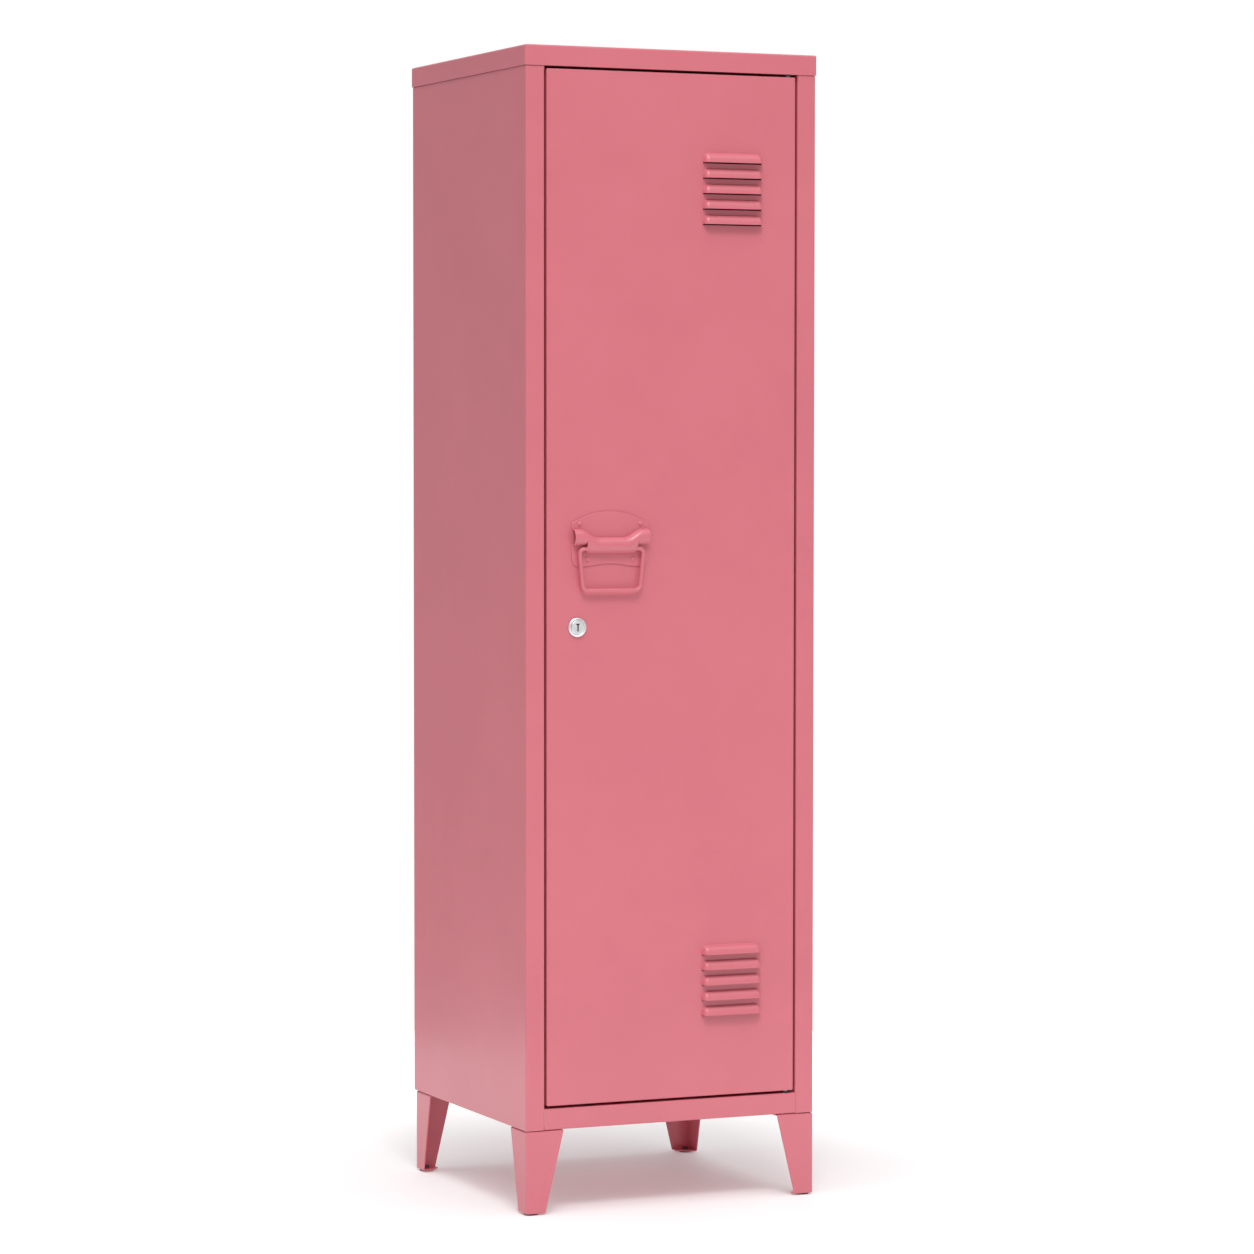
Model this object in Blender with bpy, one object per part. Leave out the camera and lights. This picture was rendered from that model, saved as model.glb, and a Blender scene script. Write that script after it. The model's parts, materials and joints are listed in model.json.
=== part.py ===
"""Steel locker cabinet on four tapered legs.

One door hangs on concealed pins on the right. It has two groups of louvres, a riveted plate
with a drop-bail pull, and a cam lock. Inside are two shelves on angles and a coat rail.
X runs to the right along the front, Y to the back and Z up; the floor is Z = 0.
"""

import math

import bmesh
import bpy
from mathutils import Matrix, Vector

MM = 0.001

# Cabinet body
WIDTH = 375 * MM
DEPTH = 365 * MM
HEIGHT = 1370 * MM
SHEET = 0.8 * MM
GAP = 0.3 * MM
FOLD_RADIUS = 1.3 * MM
FOLD_SEGMENTS = 2

# Top cap, a shallow tray turned over the body
CAP_SKIRT = 24 * MM
CAP_LIP = 1.1 * MM
CAP_FOLD = 2.0 * MM

# Pull plate, and how far the half-round bridge on it stands off
PLATE_SHEET = 1.2 * MM
BRIDGE_REACH = 10 * MM
PULL_REACH = GAP + PLATE_SHEET + GAP + BRIDGE_REACH

# Front and back faces, placed so that the whole object is centred on the origin
FRONT = -(DEPTH + CAP_LIP - PULL_REACH) / 2
BACK = FRONT + DEPTH
BODY_BOTTOM = 100.1 * MM
BODY_TOP = HEIGHT - SHEET - 1.2 * MM

# Door opening: stiles and their folded returns
OPENING_WIDTH = 327.6 * MM
STILE_RETURN = 22 * MM
REAR_FLANGE = 13.5 * MM

# Angle behind the left stile that stops the door's free edge
STOP_WIDTH = 13.5 * MM
STOP_LEG = 12 * MM
STOP_BOTTOM = 127 * MM
STOP_TOP = 1344.5 * MM

# Angles along the foot of the side panels that take the leg screws
BASE_ANGLE_WIDTH = 30 * MM
BASE_ANGLE_RISE = 12.5 * MM
BASE_ANGLE_FRONT = FRONT + 24.5 * MM
BASE_ANGLE_REAR = BACK - 26 * MM

# Base pan and header
FLOOR_TOP = 125.1 * MM
PAN_REAR = BACK - 2.6 * MM
PAN_SIDE_DROP = 12 * MM
PAN_RELIEF = 2.5 * MM
PAN_LEDGE = 20 * MM
HEADER_BOTTOM = 1346.1 * MM
HEADER_DEPTH = 40 * MM
HEADER_UPSTAND = 18 * MM

# Shelves, the angles they rest on and the coat rail
INNER_HALF = WIDTH / 2 - SHEET - GAP
SHELF_FRONT = FRONT + 32 * MM
SHELF_FLANGE = 18 * MM
HAT_SHELF_TOP = 1090 * MM
LOWER_SHELF_TOP = 390 * MM
REST_DROP = 16 * MM
REST_LEDGE = 13 * MM
REST_INSET = 4 * MM
RAIL_HEIGHT = 1034 * MM
RAIL_RADIUS = 9.5 * MM
RAIL_WALL = 1.2 * MM
RAIL_Y = (SHELF_FRONT + PAN_REAR) / 2

# Legs: pressed angles with a top plate, a foot plate and a nylon glide
LEG_TOP = 99.4 * MM
LEG_FOOT = 1.8 * MM
LEG_SHEET = 1.5 * MM
LEG_TOP_WIDTH = 48 * MM
LEG_FOOT_WIDTH = 24.5 * MM
REAR_LEG_INSET = 7.5 * MM
GLIDE_CENTRE = 10 * MM
LEG_PLATE_CUT = 0.45
SCREW_NEAR = 12.5 * MM
SCREW_FAR = 36.5 * MM
SCREW_HOLE = 2.4 * MM
SCREW_HEAD_RADIUS = 3.8 * MM
SCREW_HEAD_HEIGHT = 2.4 * MM
SCREW_SHANK = 2 * MM
SCREW_REACH = 7.5 * MM
STUD_HOLE = 3.3 * MM
GLIDE_RADIUS = 8.6 * MM

# Door pan
DOOR_WIDTH = 322 * MM
DOOR_BOTTOM = 128.2 * MM
DOOR_TOP = 1343 * MM
DOOR_THICKNESS = 18 * MM
DOOR_LIP = 10 * MM
STIFFENER_WIDTH = 24 * MM
STIFFENER_FLANGE = 9 * MM
STIFFENER_DEPTH = 13 * MM
STIFFENER_INSET = 24 * MM

# Hinge pins: the axis lies inside the door, near its right edge
HINGE_X = DOOR_WIDTH / 2 - 8 * MM
HINGE_Y = FRONT + 6 * MM
PIN_RADIUS = 2.5 * MM
BUSH_BORE = 2.9 * MM
BUSH_RADIUS = 4.2 * MM
BUSH_FLANGE = 5.6 * MM
BUSH_HOLE = BUSH_RADIUS + 0.4 * MM

# Louvres: two groups of pressed hoods, each open along its lower lip
LOUVRE_X = 77.6 * MM
LOUVRE_WIDTH = 75.4 * MM
LOUVRE_HEIGHT = 9.8 * MM
LOUVRE_REACH = 7.5 * MM
LOUVRE_END = 5.6 * MM
LOUVRE_PITCH = 18.2 * MM
LOUVRE_COUNT = 5
LOUVRE_TOP_LIPS = (1239 * MM, 298 * MM)

# Pull handle: plate, half-round bridge, rivets and drop bail
HANDLE_X = -81 * MM
PLATE_HALF = 49 * MM
PLATE_FACE = FRONT - GAP - PLATE_SHEET
PLATE_APEX = 827.5 * MM
PLATE_SHOULDER = 816 * MM
PLATE_SIDE_BOTTOM = 772 * MM
PLATE_LOBE = 762.5 * MM
PLATE_WAIST = 766.2 * MM
RIVETS = ((38.8 * MM, 813 * MM), (29 * MM, 771 * MM))
RIVET_HOLE = 2.0 * MM
RIVET_HEAD = 3 * MM
BRIDGE_SHEET = 0.9 * MM
WING_HALF = 48 * MM
WIRE_RADIUS = 2.4 * MM
BAIL_AXIS_Y = FRONT - 6.5 * MM
BAIL_AXIS_Z = 783.5 * MM
BAIL_BAR_Y = FRONT - 6 * MM
BAIL_BAR_Z = 734.4 * MM
BAIL_TOP_HALF = 41.2 * MM
BAIL_BAR_HALF = 36.4 * MM
BAIL_STUB = 30.4 * MM
BAIL_BENDS = (5 * MM, 7 * MM, 7 * MM, 5 * MM)

# Cam lock
LOCK_X = -122.7 * MM
LOCK_Z = 691.5 * MM
BEZEL_RADIUS = 11.45 * MM
BARREL_RADIUS = 9.2 * MM
BARREL_LENGTH = 21 * MM
PLUG_FACE_RADIUS = 8.3 * MM
PLUG_RADIUS = 6 * MM
CAM_FRONT = FRONT + 25 * MM
CAM_SHEET = 2.5 * MM
CAM_LENGTH = 37 * MM
CAM_WIDTH = 14 * MM
CAM_BOLT_HOLE = 2 * MM

# Small parts inside the opening
CATCH_X = (-142 * MM, -100 * MM)
CATCH_SIZE = 12 * MM
BUMPER_HEIGHTS = (("upper", 1180 * MM), ("lower", 290 * MM))
BUMPER_RADIUS = 4.5 * MM

DRILL_LENGTH = 8 * MM
HOLE_SEGMENTS = 16
ROUND_SEGMENTS = 24
WELD = 1e-6
SHARP = math.radians(35)

TURN_TO = {
    "X": Matrix.Rotation(math.radians(90), 4, "Y"),
    "Y": Matrix.Rotation(math.radians(-90), 4, "X"),
    "Z": Matrix.Identity(4),
}


def clear_scene():
    for item in list(bpy.data.objects):
        bpy.data.objects.remove(item, do_unlink=True)


def make_material(name, colour, roughness, metallic):
    material = bpy.data.materials.new(name)
    material.use_nodes = True
    shader = material.node_tree.nodes["Principled BSDF"]
    shader.inputs["Base Color"].default_value = (*colour, 1)
    shader.inputs["Roughness"].default_value = roughness
    shader.inputs["Metallic"].default_value = metallic
    return material


def make_object(name, bm, material, smooth=False):
    mesh = bpy.data.meshes.new(name)
    bm.to_mesh(mesh)
    bm.free()
    if smooth:
        mesh.shade_smooth()
        mesh.set_sharp_from_angle(angle=SHARP)
    if material:
        mesh.materials.append(material)
    item = bpy.data.objects.new(name, mesh)
    bpy.context.collection.objects.link(item)
    return item


def make_pivot(name, location):
    pivot = bpy.data.objects.new(name, None)
    pivot.location = location
    bpy.context.collection.objects.link(pivot)
    return pivot


def hang(items, pivot):
    """Parents pieces to a pivot and keeps their places."""
    for item in items:
        item.parent = pivot
        item.location -= pivot.location


def carve(target, tool, operation):
    tool.hide_render = True
    tool.display_type = "WIRE"
    modifier = target.modifiers.new(tool.name, "BOOLEAN")
    modifier.operation = operation
    modifier.object = tool


def drill(target, centres, radius, axis, length=DRILL_LENGTH):
    """Round holes of one radius through a piece, centred on points along an axis."""
    bm = bmesh.new()
    for centre in centres:
        bmesh.ops.create_cone(bm, cap_ends=True, segments=HOLE_SEGMENTS, radius1=radius, radius2=radius,
                              depth=length, matrix=Matrix.Translation(centre) @ TURN_TO[axis])
    carve(target, make_object(target.name + "_drill", bm, None), "DIFFERENCE")


def flat(x, y, z):
    """Corners of a rectangle square to the axes: one of x, y, z is a value, the others are pairs."""
    if not isinstance(x, tuple):
        return [(x, y[0], z[0]), (x, y[1], z[0]), (x, y[1], z[1]), (x, y[0], z[1])]
    if not isinstance(y, tuple):
        return [(x[0], y, z[0]), (x[1], y, z[0]), (x[1], y, z[1]), (x[0], y, z[1])]
    return [(x[0], y[0], z), (x[1], y[0], z), (x[1], y[1], z), (x[0], y[1], z)]


def folded_sheet(name, panels, thickness, radius, material):
    """Sheet metal from flat panels that share edges. Each panel is its corners and the way its
    outer face looks; the thickness goes inwards and the folds are rounded."""
    bm = bmesh.new()
    for corners, facing in panels:
        face = bm.faces.new([bm.verts.new(corner) for corner in corners])
        face.normal_update()
        if face.normal.dot(Vector(facing)) < 0:
            face.normal_flip()
    bmesh.ops.remove_doubles(bm, verts=bm.verts, dist=WELD)
    item = make_object(name, bm, material)
    folds = item.modifiers.new("folds", "BEVEL")
    folds.width = radius
    folds.segments = FOLD_SEGMENTS
    folds.limit_method = "ANGLE"
    folds.angle_limit = SHARP
    wall = item.modifiers.new("thickness", "SOLIDIFY")
    wall.thickness = thickness
    wall.offset = -1
    wall.use_even_offset = True
    return item


def tray(name, half_x, y, top, drop, radius, material):
    """Tray turned upside down: a flat top with a skirt folded down on all four sides."""
    z = (top - drop, top)
    x = (-half_x, half_x)
    panels = [
        (flat(x, y, top), (0, 0, 1)),
        (flat(x, y[0], z), (0, -1, 0)),
        (flat(x, y[1], z), (0, 1, 0)),
        (flat(-half_x, y, z), (-1, 0, 0)),
        (flat(half_x, y, z), (1, 0, 0)),
    ]
    return folded_sheet(name, panels, SHEET, radius, material)


def lathe(name, profile, segments, material, location, axis="Z"):
    """Turned piece. The profile is (radius, height) points; one that starts and ends off the
    axis closes on itself as a ring."""
    bm = bmesh.new()
    rings = []
    for radius, height in profile:
        count = segments if radius > 0 else 1
        angles = [2 * math.pi * step / segments for step in range(count)]
        rings.append([bm.verts.new((radius * math.cos(a), radius * math.sin(a), height)) for a in angles])
    pairs = list(zip(rings, rings[1:]))
    if profile[0][0] > 0:
        pairs.append((rings[-1], rings[0]))
    for low, high in pairs:
        for step in range(segments):
            corners = [ring[k % len(ring)] for ring, k in
                       ((low, step), (low, step + 1), (high, step + 1), (high, step))]
            bm.faces.new(list(dict.fromkeys(corners)))
    bmesh.ops.recalc_face_normals(bm, faces=bm.faces)
    item = make_object(name, bm, material, smooth=True)
    item.matrix_world = Matrix.Translation(location) @ TURN_TO[axis]
    return item


def prism(name, outline, y, material):
    """Flat piece with its outline in X and Z, from y[0] back to y[1]."""
    bm = bmesh.new()
    face = bm.faces.new([bm.verts.new((x, y[0], z)) for x, z in outline])
    moved = bmesh.ops.extrude_face_region(bm, geom=[face])["geom"]
    for vert in (part for part in moved if isinstance(part, bmesh.types.BMVert)):
        vert.co.y = y[1]
    bmesh.ops.recalc_face_normals(bm, faces=bm.faces)
    return make_object(name, bm, material)


def loft(bm, sections):
    """Closed solid through sections that all have the same number of points."""
    rings = [[bm.verts.new(point) for point in section] for section in sections]
    faces = [bm.faces.new(rings[0]), bm.faces.new(rings[-1])]
    for low, high in zip(rings, rings[1:]):
        for step in range(len(low)):
            follow = (step + 1) % len(low)
            faces.append(bm.faces.new((low[step], low[follow], high[follow], high[step])))
    bmesh.ops.recalc_face_normals(bm, faces=faces)


def arc(centre, radius, start, end, steps):
    """Points on an ellipse's arc, as (across, up), from one angle in degrees to another."""
    angles = [math.radians(start + (end - start) * step / steps) for step in range(steps + 1)]
    return [(centre[0] + radius[0] * math.cos(a), centre[1] + radius[1] * math.sin(a)) for a in angles]


# ---------------------------------------------------------------- body

def slab(name, x, y, z, material):
    """Flat plate square to the axes, each given as a pair."""
    outline = [(x[0], z[0]), (x[1], z[0]), (x[1], z[1]), (x[0], z[1])]
    return prism(name, outline, y, material)


def side_panel(name, side, material):
    """Flat side wall between the stile's channel and the rear edge."""
    outer = side * WIDTH / 2
    y = (FRONT + STILE_RETURN + GAP, BACK - GAP)
    return slab(name, (outer, outer - side * SHEET), y, (BODY_BOTTOM, BODY_TOP), material)


def stile(name, side, material):
    """Channel beside the door: the corner of the body, the stile's face and its return."""
    outer = side * WIDTH / 2
    opening = side * OPENING_WIDTH / 2
    y = (FRONT, FRONT + STILE_RETURN)
    z = (BODY_BOTTOM, BODY_TOP)
    panels = [
        (flat(opening, y, z), (-side, 0, 0)),
        (flat((opening, outer), FRONT, z), (0, -1, 0)),
        (flat(outer, y, z), (side, 0, 0)),
    ]
    return folded_sheet(name, panels, SHEET, FOLD_RADIUS, material)


def rear_strip(name, side, material):
    """Strip down the rear edge of a side wall, over the edge of the back panel."""
    x = (side * INNER_HALF, side * (INNER_HALF - REAR_FLANGE))
    return slab(name, x, (BACK - SHEET, BACK), (BODY_BOTTOM, BODY_TOP), material)


def door_stop(material):
    """Angle welded inside the left stile's channel: its lip stands behind the door's free edge."""
    weld_face = -OPENING_WIDTH / 2 - SHEET - GAP
    lip = (weld_face, -OPENING_WIDTH / 2 + STOP_WIDTH)
    front = FRONT + STILE_RETURN + GAP
    z = (STOP_BOTTOM, STOP_TOP)
    panels = [
        (flat(weld_face, (front - STOP_LEG, front), z), (1, 0, 0)),
        (flat(lip, front, z), (0, -1, 0)),
    ]
    return folded_sheet("door_stop", panels, SHEET, 0, material)


def base_angle(name, side, material):
    """Angle welded along the foot of a side panel, with a ledge for the leg screws."""
    wall = side * INNER_HALF
    y = (BASE_ANGLE_FRONT, BASE_ANGLE_REAR)
    panels = [
        (flat(wall, y, (BODY_BOTTOM, BODY_BOTTOM + BASE_ANGLE_RISE)), (side, 0, 0)),
        (flat((wall, wall - side * BASE_ANGLE_WIDTH), y, BODY_BOTTOM), (0, 0, -1)),
    ]
    return folded_sheet(name, panels, SHEET, FOLD_RADIUS, material)


def base_pan(material):
    """Cabinet floor, with a front apron between the stiles and ledges for the leg screws."""
    narrow = OPENING_WIDTH / 2 - GAP
    step = BASE_ANGLE_FRONT
    sides = (step + PAN_RELIEF, PAN_REAR - PAN_RELIEF)
    right = [(narrow, FRONT), (narrow, step), (INNER_HALF, step), (INNER_HALF, sides[0]),
             (INNER_HALF, sides[1]), (INNER_HALF, PAN_REAR)]
    left = [(-x, y) for x, y in reversed(right)]
    wide = (-INNER_HALF, INNER_HALF)
    rise = (BODY_BOTTOM, FLOOR_TOP)
    panels = [
        ([(x, y, FLOOR_TOP) for x, y in right + left], (0, 0, 1)),
        (flat((-narrow, narrow), FRONT, rise), (0, -1, 0)),
        (flat((-narrow, narrow), (FRONT, FRONT + PAN_LEDGE), BODY_BOTTOM), (0, 0, -1)),
        (flat(wide, PAN_REAR, rise), (0, 1, 0)),
        (flat(wide, (PAN_REAR - PAN_LEDGE, PAN_REAR), BODY_BOTTOM), (0, 0, -1)),
    ]
    for side in (-1, 1):
        drop = (FLOOR_TOP - PAN_SIDE_DROP, FLOOR_TOP)
        panels.append((flat(side * INNER_HALF, sides, drop), (side, 0, 0)))
    pan = folded_sheet("base_pan", panels, SHEET, FOLD_RADIUS, material)
    drill(pan, [(HINGE_X, HINGE_Y, FLOOR_TOP)], BUSH_HOLE, "Z")
    return pan


def header_rail(material):
    """Channel across the top of the door opening, which carries the upper hinge bush."""
    half = OPENING_WIDTH / 2 - GAP
    x = (-half, half)
    y = (FRONT, FRONT + HEADER_DEPTH)
    panels = [
        (flat(x, FRONT, (HEADER_BOTTOM, BODY_TOP - GAP)), (0, -1, 0)),
        (flat(x, y, HEADER_BOTTOM), (0, 0, -1)),
        (flat(x, y[1], (HEADER_BOTTOM, HEADER_BOTTOM + HEADER_UPSTAND)), (0, 1, 0)),
    ]
    rail = folded_sheet("header_rail", panels, SHEET, FOLD_RADIUS, material)
    drill(rail, [(HINGE_X, HINGE_Y, HEADER_BOTTOM)], BUSH_HOLE, "Z")
    return rail


def back_panel(material):
    rear = BACK - SHEET - GAP
    z = (BODY_BOTTOM + GAP, BODY_TOP - GAP)
    return slab("back_panel", (-INNER_HALF, INNER_HALF), (rear - SHEET, rear), z, material)


def shelf(name, top, material):
    return tray(name, INNER_HALF, (SHELF_FRONT, PAN_REAR), top, SHELF_FLANGE, FOLD_RADIUS, material)


def shelf_rest(name, side, shelf_top, material):
    """Angle along a side wall; the shelf's edge lies on its ledge."""
    wall = side * INNER_HALF
    y = (SHELF_FRONT + REST_INSET, PAN_REAR - REST_INSET)
    top = shelf_top - SHELF_FLANGE - GAP
    panels = [
        (flat((wall, wall - side * REST_LEDGE), y, top), (0, 0, 1)),
        (flat(wall, y, (top - REST_DROP, top)), (side, 0, 0)),
    ]
    return folded_sheet(name, panels, SHEET, FOLD_RADIUS, material)


def coat_rail(material):
    half = INNER_HALF - 3.4 * MM
    bore = RAIL_RADIUS - RAIL_WALL
    profile = [(RAIL_RADIUS, -half), (RAIL_RADIUS, half), (bore, half), (bore, -half)]
    return lathe("coat_rail", profile, ROUND_SEGMENTS, material, (0, RAIL_Y, RAIL_HEIGHT), "X")


def rail_socket(name, side, material):
    """Round flange on the side wall, with a cup around the end of the coat rail."""
    cup = RAIL_RADIUS + 0.4 * MM
    base = 2.6 * MM
    length = 15 * MM
    profile = [(0, 0), (17 * MM, 0), (17 * MM, base), (cup + 2.4 * MM, base + 1 * MM),
               (cup + 2.4 * MM, length), (cup, length), (cup, base), (0, base)]
    item = lathe(name, profile, ROUND_SEGMENTS, material, (0, 0, 0))
    item.matrix_world = (Matrix.Translation((side * INNER_HALF, RAIL_Y, RAIL_HEIGHT))
                         @ Matrix.Rotation(math.radians(-90 * side), 4, "Y"))
    return item


# ---------------------------------------------------------------- legs

def leg_frame(side, rear):
    """Outer corner of a leg and the ways that lead inwards from it along X and Y."""
    corner = Vector((side * WIDTH / 2, BACK - REAR_LEG_INSET if rear else FRONT, 0))
    return corner, -side, (-1 if rear else 1)


def leg(name, side, rear, material):
    corner, in_x, in_y = leg_frame(side, rear)

    def point(across, along, height):
        return (corner.x + in_x * across, corner.y + in_y * along, height)

    def plate(width, height):
        cut = width * LEG_PLATE_CUT
        plan = [(0, 0), (width, 0), (width, cut), (cut, width), (0, width)]
        return [point(across, along, height) for across, along in plan]

    foot = LEG_FOOT_WIDTH
    head = LEG_TOP_WIDTH
    panels = [
        ([point(0, 0, LEG_FOOT), point(foot, 0, LEG_FOOT), point(head, 0, LEG_TOP), point(0, 0, LEG_TOP)],
         (0, -in_y, 0)),
        ([point(0, 0, LEG_FOOT), point(0, foot, LEG_FOOT), point(0, head, LEG_TOP), point(0, 0, LEG_TOP)],
         (-in_x, 0, 0)),
        (plate(head, LEG_TOP), (0, 0, 1)),
        (plate(foot, LEG_FOOT), (0, 0, -1)),
    ]
    item = folded_sheet(name, panels, LEG_SHEET, FOLD_RADIUS, material)
    drill(item, screw_places(side, rear), SCREW_HOLE, "Z")
    drill(item, [Vector(point(GLIDE_CENTRE, GLIDE_CENTRE, LEG_FOOT))], STUD_HOLE, "Z")
    return item


def screw_places(side, rear):
    """The leg's two screws: one in the base angle's ledge, one in the base pan's."""
    corner, in_x, in_y = leg_frame(side, rear)
    near = SCREW_NEAR - (REAR_LEG_INSET - 4 * MM if rear else 0)
    return [corner + Vector((in_x * SCREW_NEAR, in_y * SCREW_FAR, LEG_TOP)),
            corner + Vector((in_x * SCREW_FAR, in_y * near, LEG_TOP))]


def leg_screw(name, place, material):
    """Pan-head screw, driven up from below the leg's top plate."""
    seat = -LEG_SHEET - GAP
    head = arc((0, seat), (SCREW_HEAD_RADIUS, SCREW_HEAD_HEIGHT), -90, 0, 3)
    shank = [(SCREW_SHANK, seat), (SCREW_SHANK, SCREW_REACH - 1.5 * MM),
             (SCREW_SHANK - 0.7 * MM, SCREW_REACH), (0, SCREW_REACH)]
    return lathe(name, [(0, seat - SCREW_HEAD_HEIGHT)] + head[1:] + shank, 12, material, place)


def foot_glide(name, side, rear, material):
    """Nylon pad under the foot plate, held by a barbed stud."""
    corner, in_x, in_y = leg_frame(side, rear)
    place = corner + Vector((in_x * GLIDE_CENTRE, in_y * GLIDE_CENTRE, 0))
    pad = LEG_FOOT - GAP
    barb = LEG_FOOT + LEG_SHEET + GAP
    stud = STUD_HOLE - 0.4 * MM
    profile = [(0, 0), (GLIDE_RADIUS - 1 * MM, 0), (GLIDE_RADIUS, 0.7 * MM), (GLIDE_RADIUS, pad), (stud, pad),
               (stud, barb), (4.2 * MM, barb), (2.4 * MM, barb + 3 * MM), (0, barb + 3 * MM)]
    return lathe(name, profile, ROUND_SEGMENTS, material, place)


# ---------------------------------------------------------------- door

def hood_sections(width, height, reach, end, back, drop):
    """Sections across one louvre: a quarter-round scoop that narrows at both rounded ends."""
    flat_half = width / 2 - end
    turns = (-86, -60, -30, 0)
    stations = [(-flat_half + end * math.sin(math.radians(t)), math.cos(math.radians(t))) for t in turns]
    stations += [(-x, scale) for x, scale in reversed(stations)]
    sections = []
    for x, scale in stations:
        curve = arc((0, 0), (-reach * scale, height * scale), 0, 90, 4)
        outline = [(back, -drop), (-reach * scale, -drop)] if drop else [(back, 0)]
        outline += curve + [(back, height * scale)]
        sections.append([(x, y, z) for y, z in outline])
    return sections


def louvre_tool(name, shrink, back, drop):
    bm = bmesh.new()
    sections = hood_sections(LOUVRE_WIDTH - 2 * shrink, LOUVRE_HEIGHT - shrink, LOUVRE_REACH - shrink,
                             LOUVRE_END - shrink, back, drop)
    for top_lip in LOUVRE_TOP_LIPS:
        for row in range(LOUVRE_COUNT):
            place = Vector((LOUVRE_X, FRONT, top_lip - row * LOUVRE_PITCH))
            loft(bm, [[place + Vector(point) for point in section] for section in sections])
    return make_object(name, bm, None)


def door_panel(material):
    half = DOOR_WIDTH / 2
    x = (-half, half)
    z = (DOOR_BOTTOM, DOOR_TOP)
    y = (FRONT, FRONT + DOOR_THICKNESS)
    rear = y[1]
    inner_x = half - DOOR_LIP
    inner_z = (DOOR_BOTTOM + DOOR_LIP, DOOR_TOP - DOOR_LIP)
    panels = [(flat(x, FRONT, z), (0, -1, 0))]
    for side in (-1, 1):
        panels.append((flat(side * half, y, z), (side, 0, 0)))
        lip = [(side * half, rear, z[0]), (side * half, rear, z[1]),
               (side * inner_x, rear, inner_z[1]), (side * inner_x, rear, inner_z[0])]
        panels.append((lip, (0, 1, 0)))
    for edge, inner, facing in ((z[0], inner_z[0], -1), (z[1], inner_z[1], 1)):
        panels.append((flat(x, y, edge), (0, 0, facing)))
        lip = [(-half, rear, edge), (half, rear, edge), (inner_x, rear, inner), (-inner_x, rear, inner)]
        panels.append((lip, (0, 1, 0)))
    door = folded_sheet("door_panel", panels, SHEET, FOLD_RADIUS, material)
    carve(door, louvre_tool("louvre_hoods", 0, SHEET / 2, 0), "UNION")
    carve(door, louvre_tool("louvre_hollows", SHEET, 3 * SHEET, 0.5 * MM), "DIFFERENCE")
    rivets = [(HANDLE_X + side * across, FRONT, up) for across, up in RIVETS for side in (-1, 1)]
    drill(door, rivets, RIVET_HOLE, "Y")
    drill(door, [(LOCK_X, FRONT, LOCK_Z)], BARREL_RADIUS + 0.4 * MM, "Y")
    drill(door, [(HINGE_X, HINGE_Y, DOOR_BOTTOM), (HINGE_X, HINGE_Y, DOOR_TOP)], BUSH_BORE, "Z")
    return door


def door_stiffener(material):
    """Hat channel spot-welded inside the door, clear of the louvres and the handle."""
    base = FRONT + SHEET + GAP + SHEET
    crown = base + STIFFENER_DEPTH
    z = (DOOR_BOTTOM + STIFFENER_INSET, DOOR_TOP - STIFFENER_INSET)
    half = STIFFENER_WIDTH / 2
    panels = [(flat((-half, half), crown, z), (0, 1, 0))]
    for side in (-1, 1):
        panels.append((flat(side * half, (base, crown), z), (side, 0, 0)))
        panels.append((flat((side * half, side * (half + STIFFENER_FLANGE)), base, z), (0, 1, 0)))
    return folded_sheet("door_stiffener", panels, SHEET, FOLD_RADIUS, material)


def hinge_pin(name, edge, up, material):
    """Headed pin through the door's folded edge: up is 1 at the top and -1 at the bottom."""
    seat = -SHEET - GAP
    profile = [(0, seat - 2 * MM), (4.6 * MM, seat - 2 * MM), (4.6 * MM, seat), (PIN_RADIUS, seat),
               (PIN_RADIUS, 9 * MM), (PIN_RADIUS - 0.6 * MM, 10 * MM), (0, 10 * MM)]
    return lathe(name, [(r, up * h) for r, h in profile], ROUND_SEGMENTS, material, (HINGE_X, HINGE_Y, edge))


def hinge_bush(name, face, up, material):
    """Nylon bush in the body's sheet: its flange faces the door."""
    profile = [(BUSH_BORE, -1.8 * MM), (BUSH_FLANGE, -1.8 * MM), (BUSH_FLANGE, -GAP), (BUSH_RADIUS, -GAP),
               (BUSH_RADIUS, 6.5 * MM), (BUSH_BORE, 6.5 * MM)]
    return lathe(name, [(r, up * h) for r, h in profile], ROUND_SEGMENTS, material, (HINGE_X, HINGE_Y, face))


# ---------------------------------------------------------------- pull handle

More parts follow.
